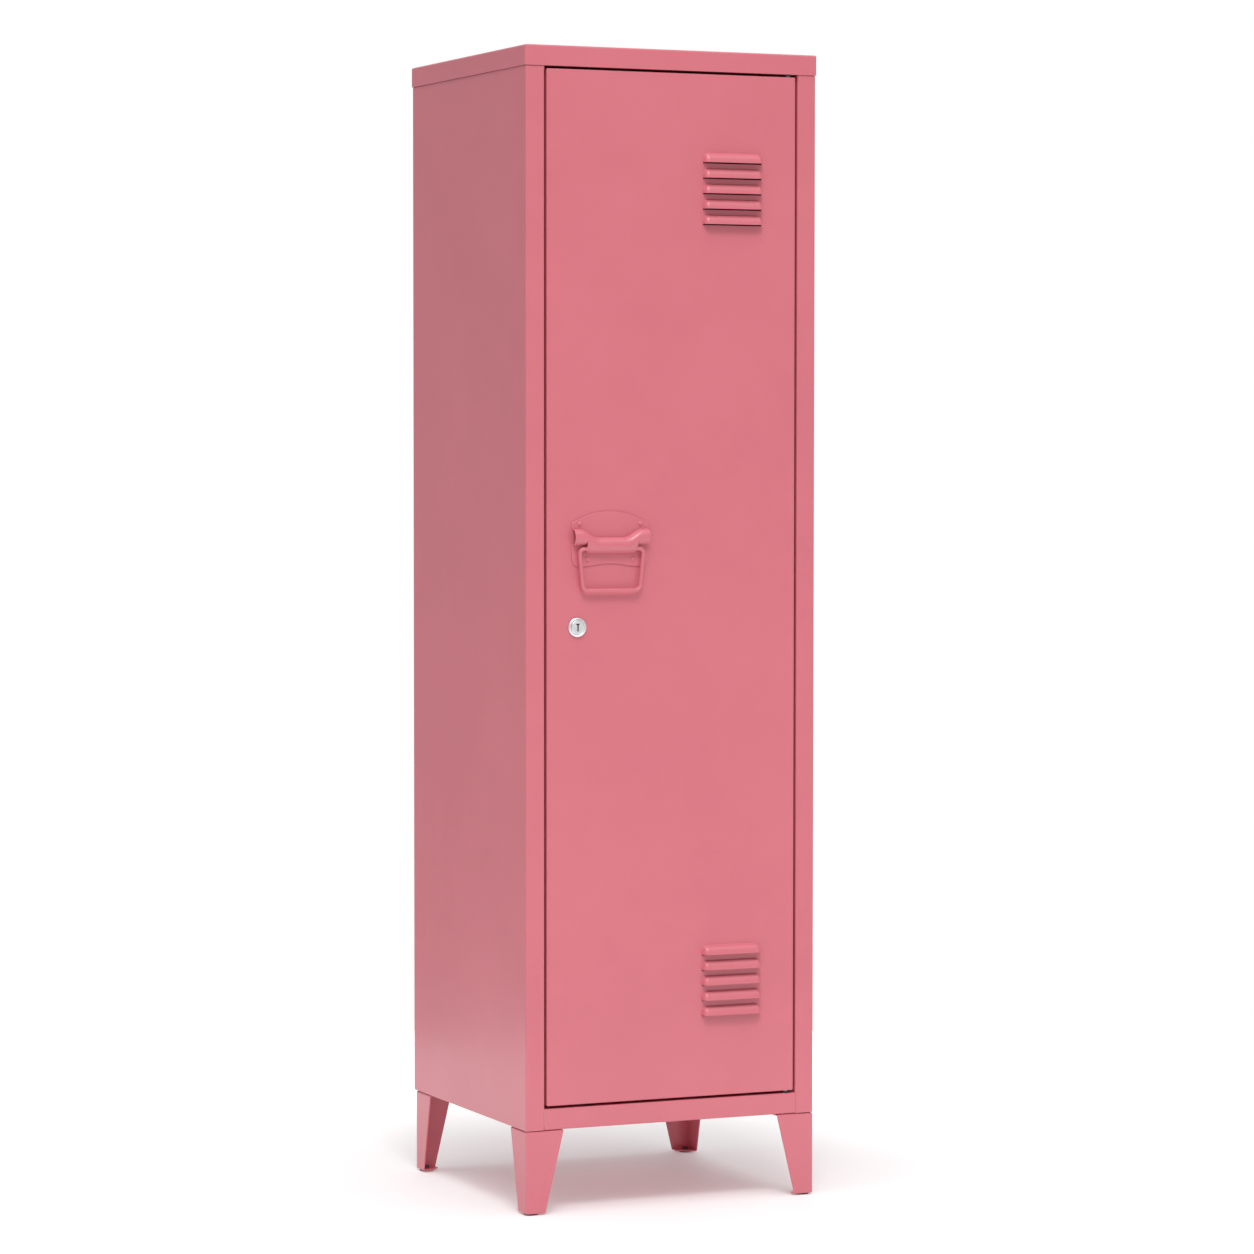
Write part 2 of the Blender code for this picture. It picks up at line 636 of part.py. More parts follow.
def handle_plate(material):
    """Thin plate with an arched top and two lobes along its lower edge."""
    arch_half = PLATE_HALF - 4 * MM
    rise = PLATE_APEX - PLATE_SHOULDER
    arch_radius = (arch_half ** 2 + rise ** 2) / (2 * rise)
    arch_angle = math.degrees(math.asin(arch_half / arch_radius))
    arch_centre = (HANDLE_X, PLATE_APEX - arch_radius)
    outline = arc(arch_centre, (arch_radius, arch_radius), 90 - arch_angle, 90 + arch_angle, 12)
    corner = (4 * MM, 4 * MM)
    outline += arc((HANDLE_X - arch_half, PLATE_SHOULDER - corner[1]), corner, 110, 180, 3)
    lobe = (10 * MM, PLATE_SIDE_BOTTOM - PLATE_LOBE)
    wave_half = PLATE_HALF - lobe[0]
    outline += arc((HANDLE_X - wave_half, PLATE_SIDE_BOTTOM), lobe, 180, 270, 4)
    for step in range(1, 12):
        across = -1 + step / 6
        lift = (PLATE_WAIST - PLATE_LOBE) * (0.5 + 0.5 * math.cos(math.pi * across))
        outline.append((HANDLE_X + wave_half * across, PLATE_LOBE + lift))
    outline += arc((HANDLE_X + wave_half, PLATE_SIDE_BOTTOM), lobe, 270, 360, 4)
    outline += arc((HANDLE_X + arch_half, PLATE_SHOULDER - corner[1]), corner, 0, 70, 3)
    plate = prism("handle_plate", outline, (PLATE_FACE, PLATE_FACE + PLATE_SHEET), material)
    rivets = [(HANDLE_X + side * across, FRONT, up) for across, up in RIVETS for side in (-1, 1)]
    drill(plate, rivets, RIVET_HOLE, "Y")
    return plate


def bridge_tool(name, shrink, overrun, back, material):
    """Half-round strap whose ends are stepped up into open wings.

    Each station is (distance from the middle, lower edge, upper edge)."""
    step = 32.6 * MM - shrink
    low, raised = 778 * MM + shrink, 787.6 * MM + shrink
    centre_top, wing_top = 797.2 * MM - shrink, 807 * MM - shrink
    half_wing = [(22 * MM, low, centre_top), (step, low, 804.2 * MM - shrink),
                 (step + 0.2 * MM, raised, 804.4 * MM - shrink), (37 * MM, raised, wing_top),
                 (WING_HALF + overrun, raised, wing_top)]
    stations = [(-across, bottom, top) for across, bottom, top in reversed(half_wing)] + half_wing
    bm = bmesh.new()
    sections = []
    for across, bottom, top in stations:
        middle, radius = (bottom + top) / 2, (top - bottom) / 2
        curve = arc((PLATE_FACE - GAP, middle), (BRIDGE_REACH - shrink, radius), 270, 90, 8)
        outline = [(back, bottom)] + curve + [(back, top)]
        sections.append([(HANDLE_X + across, y, z) for y, z in outline])
    loft(bm, sections)
    return make_object(name, bm, material)


def handle_bridge(material):
    bridge = bridge_tool("handle_bridge", 0, 0, PLATE_FACE - GAP + WELD, material)
    hollow = bridge_tool("bridge_hollow", BRIDGE_SHEET, 4 * MM, PLATE_FACE + 2 * MM, None)
    carve(bridge, hollow, "DIFFERENCE")
    axis = (BAIL_AXIS_Y, BAIL_AXIS_Z)
    drill(bridge, [(HANDLE_X + side * 33 * MM, *axis) for side in (-1, 1)], 3.1 * MM, "X", 6 * MM)
    return bridge


def handle_rivet(name, side, across, up, material):
    """Domed rivet through the plate and the door, closed inside the door."""
    front = GAP + PLATE_SHEET + GAP
    tail = -SHEET - GAP
    shank = RIVET_HOLE - 0.4 * MM
    profile = [(0, tail - 1 * MM), (2.4 * MM, tail - 1 * MM), (2.8 * MM, tail), (shank, tail), (shank, front)]
    profile += arc((0, front), (RIVET_HEAD, 1.7 * MM), 0, 90, 3)[:-1] + [(0, front + 1.7 * MM)]
    item = lathe(name, profile, 14, material, (0, 0, 0))
    item.matrix_world = (Matrix.Translation((HANDLE_X + side * across, FRONT, up))
                         @ Matrix.Rotation(math.radians(90), 4, "X"))
    return item


def rounded_path(corners, radii, steps):
    """Path through corners, each rounded by an arc of its own radius."""
    path = [corners[0]]
    for before, corner, after, radius in zip(corners, corners[1:], corners[2:], radii):
        into, away = (corner - before).normalized(), (after - corner).normalized()
        turn = into.angle(away)
        reach = radius * math.tan(turn / 2)
        inward = (away - into).normalized()
        centre = corner + inward * radius / math.cos(turn / 2)
        axis = into.cross(away).normalized()
        spoke = corner - into * reach - centre
        for step in range(steps + 1):
            path.append(centre + Matrix.Rotation(turn * step / steps, 3, axis) @ spoke)
    path.append(corners[-1])
    return path


def handle_bail(material):
    """Wire loop that hangs from its two ends, which turn in the bridge."""
    half = [(BAIL_STUB, BAIL_AXIS_Y, BAIL_AXIS_Z), (BAIL_TOP_HALF, BAIL_AXIS_Y, BAIL_AXIS_Z),
            (BAIL_BAR_HALF, BAIL_BAR_Y, BAIL_BAR_Z)]
    corners = [Vector((HANDLE_X - x, y, z)) for x, y, z in half]
    corners += [Vector((HANDLE_X + x, y, z)) for x, y, z in reversed(half)]
    path = rounded_path(corners, BAIL_BENDS, 5)
    curve = bpy.data.curves.new("handle_bail", "CURVE")
    curve.dimensions = "3D"
    curve.bevel_depth = WIRE_RADIUS
    curve.bevel_resolution = 3
    curve.use_fill_caps = True
    spline = curve.splines.new("POLY")
    spline.points.add(len(path) - 1)
    for point, place in zip(spline.points, path):
        point.co = (*place, 1)
    curve.materials.append(material)
    bail = bpy.data.objects.new("handle_bail", curve)
    bpy.context.collection.objects.link(bail)
    return bail


# ---------------------------------------------------------------- cam lock

def lock_turning(name, profile, material):
    """Turned lock piece: its heights are distances behind the door's face."""
    return lathe(name, profile, ROUND_SEGMENTS, material, (LOCK_X, FRONT, LOCK_Z), "Y")


def lock_barrel(material):
    seat = -GAP
    recess = PLUG_FACE_RADIUS + GAP
    bore = PLUG_RADIUS + GAP
    profile = [(recess, -3 * MM), (BEZEL_RADIUS - 2 * MM, -3 * MM), (BEZEL_RADIUS - 0.6 * MM, -2.3 * MM),
               (BEZEL_RADIUS, -1.1 * MM), (BEZEL_RADIUS, seat), (BARREL_RADIUS, seat),
               (BARREL_RADIUS, BARREL_LENGTH), (bore, BARREL_LENGTH), (bore, 0.4 * MM), (recess, 0.4 * MM)]
    return lock_turning("lock_barrel", profile, material)


def lock_nut(material):
    """Six-sided nut that holds the barrel from inside the door."""
    seat = SHEET + GAP
    outer, bore = 12.5 * MM, BARREL_RADIUS + GAP
    bm = bmesh.new()
    bmesh.ops.create_cone(bm, cap_ends=True, segments=6, radius1=outer, radius2=outer, depth=4 * MM)
    nut = make_object("lock_nut", bm, material)
    nut.matrix_world = Matrix.Translation((LOCK_X, FRONT + seat + 2 * MM, LOCK_Z)) @ TURN_TO["Y"]
    tool = lathe("lock_nut_bore", [(0, -4 * MM), (bore, -4 * MM), (bore, 4 * MM), (0, 4 * MM)],
                 ROUND_SEGMENTS, None, (LOCK_X, FRONT + seat + 2 * MM, LOCK_Z), "Y")
    carve(nut, tool, "DIFFERENCE")
    return nut


def lock_plug(material):
    """Rotor with the keyway in its face; its square rear end drives the cam."""
    profile = [(0, -3.3 * MM), (PLUG_FACE_RADIUS - 0.8 * MM, -3.3 * MM), (PLUG_FACE_RADIUS, -2.7 * MM),
               (PLUG_FACE_RADIUS, 0), (PLUG_RADIUS, 0), (PLUG_RADIUS, CAM_FRONT - FRONT - GAP),
               (0, CAM_FRONT - FRONT - GAP)]
    plug = lock_turning("lock_plug", profile, material)
    slot, head = 0.9 * MM, 2 * MM
    low, neck, high = LOCK_Z - 5.2 * MM, LOCK_Z + 1.8 * MM, LOCK_Z + 4.6 * MM
    outline = [(-slot, low), (slot, low), (slot, neck), (head, neck), (head, high), (-head, high),
               (-head, neck), (-slot, neck)]
    keyway = prism("keyway", [(LOCK_X + x, z) for x, z in outline], (FRONT - 6 * MM, FRONT + 5 * MM), None)
    carve(plug, keyway, "DIFFERENCE")
    drill(plug, [(LOCK_X, CAM_FRONT, LOCK_Z)], CAM_BOLT_HOLE, "Y", 14 * MM)
    return plug


def lock_cam(material):
    """Flat arm with round ends, which hangs down while the door is unlocked."""
    radius = CAM_WIDTH / 2
    outline = arc((LOCK_X, LOCK_Z), (radius, radius), 0, 180, 8)
    outline += arc((LOCK_X, LOCK_Z - CAM_LENGTH + radius), (radius, radius), 180, 360, 8)
    cam = prism("lock_cam", outline, (CAM_FRONT, CAM_FRONT + CAM_SHEET), material)
    drill(cam, [(LOCK_X, CAM_FRONT, LOCK_Z)], CAM_BOLT_HOLE, "Y")
    return cam


def cam_screw(material):
    head = CAM_FRONT - FRONT + CAM_SHEET + GAP
    profile = [(0, head - 8 * MM), (1.6 * MM, head - 8 * MM), (1.6 * MM, head), (4 * MM, head),
               (4 * MM, head + 1.4 * MM), (2.8 * MM, head + 2.4 * MM), (0, head + 2.6 * MM)]
    return lock_turning("cam_screw", profile, material)


# ---------------------------------------------------------------- small parts inside

def magnet_catch(material):
    """Magnetic catch under the header, just behind the door's top edge."""
    y = (FRONT + DOOR_THICKNESS + GAP, FRONT + DOOR_THICKNESS + CATCH_SIZE)
    z = (HEADER_BOTTOM - GAP - CATCH_SIZE, HEADER_BOTTOM - GAP)
    catch = slab("magnet_catch", CATCH_X, y, z, material)
    edges = catch.modifiers.new("edges", "BEVEL")
    edges.width = 1 * MM
    edges.segments = 1
    return catch


def door_bumper(name, height, material):
    """Rubber pad on the door stop."""
    x = -(OPENING_WIDTH / 2 - STOP_WIDTH / 2)
    thickness = STILE_RETURN - DOOR_THICKNESS - GAP
    profile = [(0, 0), (BUMPER_RADIUS, 0), (BUMPER_RADIUS, thickness - 1 * MM),
               (BUMPER_RADIUS - 1 * MM, thickness), (0, thickness)]
    item = lathe(name, profile, 16, material, (0, 0, 0))
    item.matrix_world = (Matrix.Translation((x, FRONT + STILE_RETURN, height))
                         @ Matrix.Rotation(math.radians(90), 4, "X"))
    return item


# ---------------------------------------------------------------- assembly

def build_body(paint, zinc, chrome, nylon, rubber):
    cap_y = (FRONT - CAP_LIP, BACK + CAP_LIP)
    tray("top_cap", WIDTH / 2 + CAP_LIP, cap_y, HEIGHT, CAP_SKIRT, CAP_FOLD, paint)
    back_panel(paint)
    door_stop(paint)
    pan = base_pan(paint)
    header_rail(paint)
    shelf("hat_shelf", HAT_SHELF_TOP, paint)
    shelf("lower_shelf", LOWER_SHELF_TOP, paint)
    coat_rail(chrome)
    pan_screws = []
    for side, hand in ((-1, "left"), (1, "right")):
        side_panel(f"{hand}_side_panel", side, paint)
        stile(f"{hand}_stile", side, paint)
        rear_strip(f"{hand}_rear_strip", side, paint)
        angle = base_angle(f"base_angle_{hand}", side, paint)
        rail_socket(f"coat_rail_socket_{hand}", side, chrome)
        angle_screws = []
        for rear, end in ((False, "front"), (True, "rear")):
            leg(f"leg_{end}_{hand}", side, rear, paint)
            foot_glide(f"foot_glide_{end}_{hand}", side, rear, nylon)
            places = screw_places(side, rear)
            angle_screws.append(places[0])
            pan_screws.append(places[1])
            for number, place in enumerate(places, 1):
                leg_screw(f"leg_screw_{end}_{hand}_{number}", place, zinc)
        drill(angle, angle_screws, SCREW_HOLE, "Z")
        for label, top in (("hat", HAT_SHELF_TOP), ("lower", LOWER_SHELF_TOP)):
            shelf_rest(f"{label}_shelf_rest_{hand}", side, top, paint)
    drill(pan, pan_screws, SCREW_HOLE, "Z")
    hinge_bush("hinge_bush_top", HEADER_BOTTOM, 1, nylon)
    hinge_bush("hinge_bush_bottom", FLOOR_TOP, -1, nylon)
    magnet_catch(nylon)
    for label, height in BUMPER_HEIGHTS:
        door_bumper(f"door_bumper_{label}", height, rubber)


def build_door(paint, zinc, chrome):
    pivot = make_pivot("door_hinge_axis", (HINGE_X, HINGE_Y, DOOR_BOTTOM))
    pieces = [door_panel(paint), door_stiffener(paint), hinge_pin("hinge_pin_top", DOOR_TOP, 1, zinc),
              hinge_pin("hinge_pin_bottom", DOOR_BOTTOM, -1, zinc), handle_plate(paint), handle_bridge(paint),
              lock_barrel(chrome), lock_nut(zinc)]
    for row, (across, up) in zip(("upper", "lower"), RIVETS):
        for side, hand in ((-1, "left"), (1, "right")):
            pieces.append(handle_rivet(f"handle_rivet_{row}_{hand}", side, across, up, paint))
    hang(pieces, pivot)
    bail_pivot = make_pivot("bail_axis", (HANDLE_X, BAIL_AXIS_Y, BAIL_AXIS_Z))
    hang([handle_bail(paint)], bail_pivot)
    lock_pivot = make_pivot("lock_axis", (LOCK_X, FRONT, LOCK_Z))
    hang([lock_plug(chrome), lock_cam(zinc), cam_screw(zinc)], lock_pivot)
    hang([bail_pivot, lock_pivot], pivot)


def main():
    clear_scene()
    paint = make_material("pink_powder_coat", (0.68, 0.17, 0.21), 0.45, 0)
    zinc = make_material("zinc_plate", (0.62, 0.63, 0.64), 0.35, 1)
    chrome = make_material("chrome_plate", (0.85, 0.85, 0.86), 0.15, 1)
    nylon = make_material("black_nylon", (0.03, 0.03, 0.03), 0.5, 0)
    rubber = make_material("grey_rubber", (0.12, 0.12, 0.12), 0.8, 0)
    build_body(paint, zinc, chrome, nylon, rubber)
    build_door(paint, zinc, chrome)


main()
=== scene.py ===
"""Looks of the steel locker cabinet: powder-coated sheet metal with rounded folds, pressed
louvres, a riveted drop-bail pull and a bright cam lock."""

import json
import math

import bmesh
import bpy
from mathutils import Matrix, Vector


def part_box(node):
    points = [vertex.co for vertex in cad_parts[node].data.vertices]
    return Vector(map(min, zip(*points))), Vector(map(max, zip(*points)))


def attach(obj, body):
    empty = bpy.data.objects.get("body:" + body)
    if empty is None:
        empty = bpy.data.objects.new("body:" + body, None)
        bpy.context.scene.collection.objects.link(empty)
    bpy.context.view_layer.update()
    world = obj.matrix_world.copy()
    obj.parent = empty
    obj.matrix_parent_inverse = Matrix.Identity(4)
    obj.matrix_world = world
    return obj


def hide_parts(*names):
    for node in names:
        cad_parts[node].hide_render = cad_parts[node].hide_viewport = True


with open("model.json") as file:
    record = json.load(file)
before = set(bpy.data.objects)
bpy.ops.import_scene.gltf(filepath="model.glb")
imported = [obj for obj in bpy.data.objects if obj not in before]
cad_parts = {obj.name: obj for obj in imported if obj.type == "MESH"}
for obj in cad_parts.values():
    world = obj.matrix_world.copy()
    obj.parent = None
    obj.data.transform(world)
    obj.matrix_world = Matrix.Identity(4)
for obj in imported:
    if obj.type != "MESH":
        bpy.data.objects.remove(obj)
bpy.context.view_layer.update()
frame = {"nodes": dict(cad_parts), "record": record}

MM = 0.001

# Places read from the frame
BODY_LOW, BODY_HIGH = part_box("right_side_panel")
CAP_LOW, CAP_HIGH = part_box("top_cap")
PAN_LOW, PAN_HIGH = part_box("base_pan")
DOOR_LOW, DOOR_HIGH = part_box("door_panel")
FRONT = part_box("right_stile")[0].y
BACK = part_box("right_rear_strip")[1].y
HALF_WIDTH = BODY_HIGH.x

# Sheet metal
SHEET = 0.8 * MM
FOLD_RADIUS = 2.0 * MM
CAP_FOLD_RADIUS = 2.4 * MM
FOLD_STEPS = 5
RIM_RADIUS = 0.22 * MM
SHARP = math.radians(32)
SEAM = 0.8 * MM
NECK_STEP = 0.5 * MM

# Door opening and flanges
OPENING_HALF = 163.8 * MM
STILE_RETURN = 22 * MM
REAR_FLANGE = 13.5 * MM
PAN_NOTCH = FRONT + 24.5 * MM
PAN_LEDGE = 20 * MM
PAN_SIDE_DROP = 12 * MM
PAN_RELIEF = 2.5 * MM
DOOR_DEPTH = 18 * MM
DOOR_LIP = 10 * MM

# Louvres
LOUVRE_X = 77.6 * MM
LOUVRE_LENGTH = 75.3 * MM
LOUVRE_HEIGHT = 9.8 * MM
LOUVRE_REACH = 7.4 * MM
LOUVRE_END = 5.2 * MM
LOUVRE_SLOT = 1.1 * MM
LOUVRE_PITCH = 18.2 * MM
LOUVRE_ROWS = 5
LOUVRE_GROUPS = (1239 * MM, 298 * MM)
LOUVRE_FOOT = 1.13

# Pull handle
HANDLE_X = -81 * MM
PLATE_LOW, PLATE_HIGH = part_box("handle_plate")
BRIDGE_LOW, BRIDGE_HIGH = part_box("handle_bridge")
RIVETS = ((38.8 * MM, 813 * MM), (29 * MM, 771 * MM))
WIRE_RADIUS = 2.4 * MM
BRIDGE_SHEET = 0.9 * MM
BRIDGE_LOW_EDGE = 778 * MM
BRIDGE_MIDDLE = 787.6 * MM
BRIDGE_CREST = 797.2 * MM
NOTCH_HALF = 32.6 * MM
NOTCH_CORNER = 3.5 * MM
WING_RISE = (17 * MM, 40 * MM)
BAIL_AXIS = (FRONT - 6.5 * MM, 783.5 * MM)
BAIL_BAR = (FRONT - 6 * MM, 734.4 * MM)
BAIL_TOP_HALF = 41.2 * MM
BAIL_BAR_HALF = 36.4 * MM
BAIL_STUB = 30.4 * MM
BAIL_BENDS = (5.5 * MM, 7 * MM, 7 * MM, 5.5 * MM)

# Cam lock
LOCK_X = -122.7 * MM
LOCK_Z = 691.5 * MM
LOCK_HOLE = 9.6 * MM

# Legs
LEG_SHEET = 1.5 * MM
LEG_TOP_WIDTH = 48 * MM
LEG_FOOT_WIDTH = 24.5 * MM


# ---------------------------------------------------------------- nodes

class Value:
    """A node's output that adds Math nodes when it is used in an expression."""

    def __init__(self, graph, socket):
        self.graph = graph
        self.socket = socket

    def math(self, operation, *others):
        values = dict(enumerate((self, *others)))
        node = self.graph.add("ShaderNodeMath", {"operation": operation}, values)
        return Value(self.graph, node.outputs[0])

    def __add__(self, other):
        return self.math("ADD", other)

    def __sub__(self, other):
        return self.math("SUBTRACT", other)

    def __mul__(self, other):
        return self.math("MULTIPLY", other)

    def __truediv__(self, other):
        return self.math("DIVIDE", other)

    def __pow__(self, other):
        return self.math("POWER", other)

    def __neg__(self):
        return self.math("MULTIPLY", -1)

    def __rsub__(self, other):
        return -self + other

    __radd__ = __add__
    __rmul__ = __mul__


class Graph:
    """A node tree with one method for adding nodes."""

    def __init__(self, tree):
        self.tree = tree

    def add(self, kind, settings=None, sockets=None):
        node = self.tree.nodes.new(kind)
        for name, value in (settings or {}).items():
            if name == "stops":
                self.set_stops(node.color_ramp, value)
            else:
                setattr(node, name, value)
        for key, value in (sockets or {}).items():
            self.feed(node.inputs[key], value)
        return node

    def set_stops(self, ramp, stops):
        while len(ramp.elements) < len(stops):
            ramp.elements.new(0.5)
        for element, (position, shade) in zip(ramp.elements, stops):
            element.position = position
            element.color = (shade, shade, shade, 1)

    def feed(self, target, value):
        source = value.socket if isinstance(value, Value) else value
        if isinstance(source, bpy.types.NodeSocket):
            self.tree.links.new(source, target)
        else:
            target.default_value = source

    def value(self, kind, settings=None, sockets=None, output=0):
        return Value(self, self.add(kind, settings, sockets).outputs[output])

    def mix(self, factor, first, second):
        """A colour between two colours."""
        node = self.add("ShaderNodeMix", {"data_type": "RGBA"}, {0: factor, 6: first, 7: second})
        return Value(self, node.outputs[2])


def make_material(name, roughness, metallic, settings=()):
    """A material's graph, its shader and the piece's own coordinates."""
    material = bpy.data.materials.new(name)
    material.use_nodes = True
    graph = Graph(material.node_tree)
    shader = material.node_tree.nodes["Principled BSDF"]
    shader.inputs["Roughness"].default_value = roughness
    shader.inputs["Metallic"].default_value = metallic
    for socket, value in dict(settings).items():
        shader.inputs[socket].default_value = value
    place = graph.value("ShaderNodeTexCoord", output=3)
    return material, graph, shader, place


def noise(graph, place, scale, detail=2.0, roughness=0.5, stretch=None):
    """Noise from 0 to 1 with features about 1 / scale metres across."""
    if stretch:
        place = graph.value("ShaderNodeMapping", None, {"Vector": place, "Scale": stretch})
    sockets = {"Vector": place, "Scale": scale, "Detail": detail, "Roughness": roughness}
    return graph.value("ShaderNodeTexNoise", {"noise_dimensions": "3D"}, sockets)


def band(graph, source, low, high):
    """Source mapped smoothly so that low becomes 0 and high becomes 1."""
    sockets = {"Value": source, "From Min": low, "From Max": high}
    return graph.value("ShaderNodeMapRange", {"interpolation_type": "SMOOTHSTEP"}, sockets)


def bump(graph, shader, height, distance, strength=1.0):
    sockets = {"Height": height, "Distance": distance, "Strength": strength}
    graph.feed(shader.inputs["Normal"], graph.value("ShaderNodeBump", None, sockets))


def powder_coat(name, colour):
    """Satin baked powder: a fine orange-peel skin, faint clouding and a few rubbed, dusty areas."""
    coat = {"Coat Weight": 0.3, "Coat Roughness": 0.17}
    material, graph, shader, place = make_material(name, 0.36, 0, coat)
    cloud = noise(graph, place, 5, 3)
    patch = noise(graph, place, 28, 4, 0.6)
    peel = noise(graph, place, 420, 2, 0.45)
    fine = noise(graph, place, 1700, 1)
    pits = band(graph, noise(graph, place, 260, 1), 0.69, 0.80)
    light = tuple(min(1, channel * 1.02 + 0.003) for channel in colour) + (1,)
    dark = tuple(channel * 0.965 for channel in colour) + (1,)
    shade = cloud * 0.55 + patch * 0.25 + fine * 0.2
    tone = graph.mix(band(graph, shade, 0.34, 0.66), dark, light)
    pale = tuple(min(1, channel * 1.12 + 0.03) for channel in colour) + (1,)
    specks = band(graph, noise(graph, place, 900, 0), 0.74, 0.82) * 0.1
    graph.feed(shader.inputs["Base Color"], graph.mix(specks, tone, pale))
    rubbed = band(graph, noise(graph, place, 9, 5, 0.65), 0.5, 0.72)
    graph.feed(shader.inputs["Roughness"], 0.34 + patch * 0.06 - rubbed * 0.05 + fine * 0.04)
    height = peel * 0.75 + fine * 0.25 - pits * 0.25
    bump(graph, shader, height, 0.00006, 0.7)
    return material


def bright_chrome(name):
    """Bright plate over a brass casting: hairline polish marks and faint tarnish."""
    material, graph, shader, place = make_material(name, 0.28, 0.75)
    hair = noise(graph, place, 700, 2, 0.6, (1, 1, 9))
    haze = noise(graph, place, 160, 3, 0.6)
    tarnish = graph.mix(band(graph, haze, 0.3, 0.75), (0.94, 0.94, 0.945, 1), (0.84, 0.845, 0.855, 1))
    graph.feed(shader.inputs["Base Color"], tarnish)
    graph.feed(shader.inputs["Roughness"], 0.24 + hair * 0.07 + haze * 0.05)
    bump(graph, shader, hair * 0.7 + haze * 0.3, 0.00002, 0.5)
    return material


def zinc_plate(name):
    """Clear zinc on steel: cloudy grey-blue with rolling marks."""
    material, graph, shader, place = make_material(name, 0.35, 1)
    spangle = graph.value("ShaderNodeTexVoronoi", {"feature": "F1"}, {"Vector": place, "Scale": 240},
                          output=1)
    split = graph.value("ShaderNodeSeparateColor", None, {"Color": spangle})
    marks = noise(graph, place, 500, 3, 0.6, (1, 1, 7))
    mixed = split * 0.5 + marks * 0.5
    colour = graph.mix(mixed, (0.50, 0.52, 0.55, 1), (0.70, 0.70, 0.68, 1))
    graph.feed(shader.inputs["Base Color"], colour)
    graph.feed(shader.inputs["Roughness"], 0.26 + mixed * 0.2)
    bump(graph, shader, marks, 0.00003, 0.6)
    return material


def moulded(name, colour, roughness, grain_scale):
    """Moulded nylon or rubber with a fine spark-eroded grain and some grime."""
    material, graph, shader, place = make_material(name, roughness, 0)
    grain = noise(graph, place, grain_scale, 3, 0.6)
    grime = band(graph, noise(graph, place, 60, 4, 0.6), 0.45, 0.75)
    dirty = tuple(channel * 0.72 for channel in colour) + (1,)
    graph.feed(shader.inputs["Base Color"], graph.mix(grime * 0.6 + grain * 0.15, (*colour, 1), dirty))
    graph.feed(shader.inputs["Roughness"], roughness - 0.06 + grain * 0.12 + grime * 0.05)
    bump(graph, shader, grain, 0.00006, 0.6)
    return material


def studio_floor(name):
    """Pale painted floor with a soft mottling, and a painted glow: it emits light, faintly near the
    cabinet and brighter away from it.
    """
    material, graph, shader, place = make_material(name, 0.7, 0)
    mottle = noise(graph, place, 3, 4)
    graph.feed(shader.inputs["Base Color"], graph.mix(mottle, (0.76, 0.76, 0.76, 1), (0.8, 0.8, 0.8, 1)))
    part = graph.add("ShaderNodeSeparateXYZ", None, {0: place})
    across, along = Value(graph, part.outputs[0]), Value(graph, part.outputs[1])
    # Painted glow: emission from 0.2 near the cabinet up to 0.6 further out, so the floor brightens away
    # from the cabinet
    floor_glow_mask = band(graph, (across * across + along * along).math("SQRT"), 0.3, 0.9)
    graph.feed(shader.inputs["Emission Color"], graph.mix(floor_glow_mask, (0.2, 0.2, 0.2, 1), (0.6, 0.6, 0.6, 1)))
    shader.inputs["Emission Strength"].default_value = 1
    bump(graph, shader, noise(graph, place, 90, 2), 0.0002, 0.3)
    return material


PAINT = powder_coat("pink_powder_coat", (0.645, 0.160, 0.198))
CHROME = bright_chrome("bright_chrome")
ZINC = zinc_plate("zinc_plate")
NYLON = moulded("black_nylon", (0.03, 0.03, 0.03), 0.5, 900)
RUBBER = moulded("grey_rubber", (0.10, 0.10, 0.105), 0.75, 1200)
SLOTS = {"pink_powder_coat": PAINT, "bright_chrome": CHROME, "zinc_plate": ZINC, "black_nylon": NYLON,
         "grey_rubber": RUBBER}


# ---------------------------------------------------------------- mesh making

def make_piece(name, bm, material):
    mesh = bpy.data.meshes.new(name)
    bm.to_mesh(mesh)
    bm.free()
    mesh.materials.append(material)
    piece = bpy.data.objects.new(name, mesh)
    bpy.context.scene.collection.objects.link(piece)
    return piece


def settle(piece):
    """Turns a piece's modifiers into its own plain mesh."""
    bpy.context.view_layer.update()
    made = piece.evaluated_get(bpy.context.evaluated_depsgraph_get())
    mesh = bpy.data.meshes.new_from_object(made, preserve_all_data_layers=True,
                                           depsgraph=bpy.context.evaluated_depsgraph_get())
    piece.modifiers.clear()
    piece.data = mesh
    mesh.name = piece.name
    return piece


def soften(piece, radius, steps, limit=SHARP):
    edges = piece.modifiers.new("soft_edges", "BEVEL")
    edges.width = radius
    edges.segments = steps
    edges.limit_method = "ANGLE"
    edges.angle_limit = limit
    return edges


def smooth(piece):
    """Smooth shading that keeps flat faces flat and hard edges hard."""
    piece.data.shade_smooth()
    piece.data.set_sharp_from_angle(angle=SHARP)
    weights = piece.modifiers.new("even_normals", "WEIGHTED_NORMAL")
    weights.keep_sharp = True
    return settle(piece)


def finish_piece(piece, body, slot, *nodes):
    """Hands a finished piece to its body, in place of the frame's own solids."""
    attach(piece, body)
    if nodes:
        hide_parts(*nodes)
    return piece


def flat(x, y, z):
    """Corners of a rectangle square to the axes: one of x, y, z is a value, the others are pairs."""
    if not isinstance(x, tuple):
        return [(x, y[0], z[0]), (x, y[1], z[0]), (x, y[1], z[1]), (x, y[0], z[1])]
    if not isinstance(y, tuple):
        return [(x[0], y, z[0]), (x[1], y, z[0]), (x[1], y, z[1]), (x[0], y, z[1])]
    return [(x[0], y[0], z), (x[1], y[0], z), (x[1], y[1], z), (x[0], y[1], z)]


def add_panels(bm, panels):
    """Flat faces given by their corners and the way their outer side looks."""
    faces = []
    for corners, facing in panels:
        face = bm.faces.new([bm.verts.new(corner) for corner in corners])
        face.normal_update()
        if face.normal.dot(Vector(facing)) < 0:
            face.normal_flip()
        faces.append(face)
    bmesh.ops.remove_doubles(bm, verts=bm.verts, dist=1e-6)
    return faces


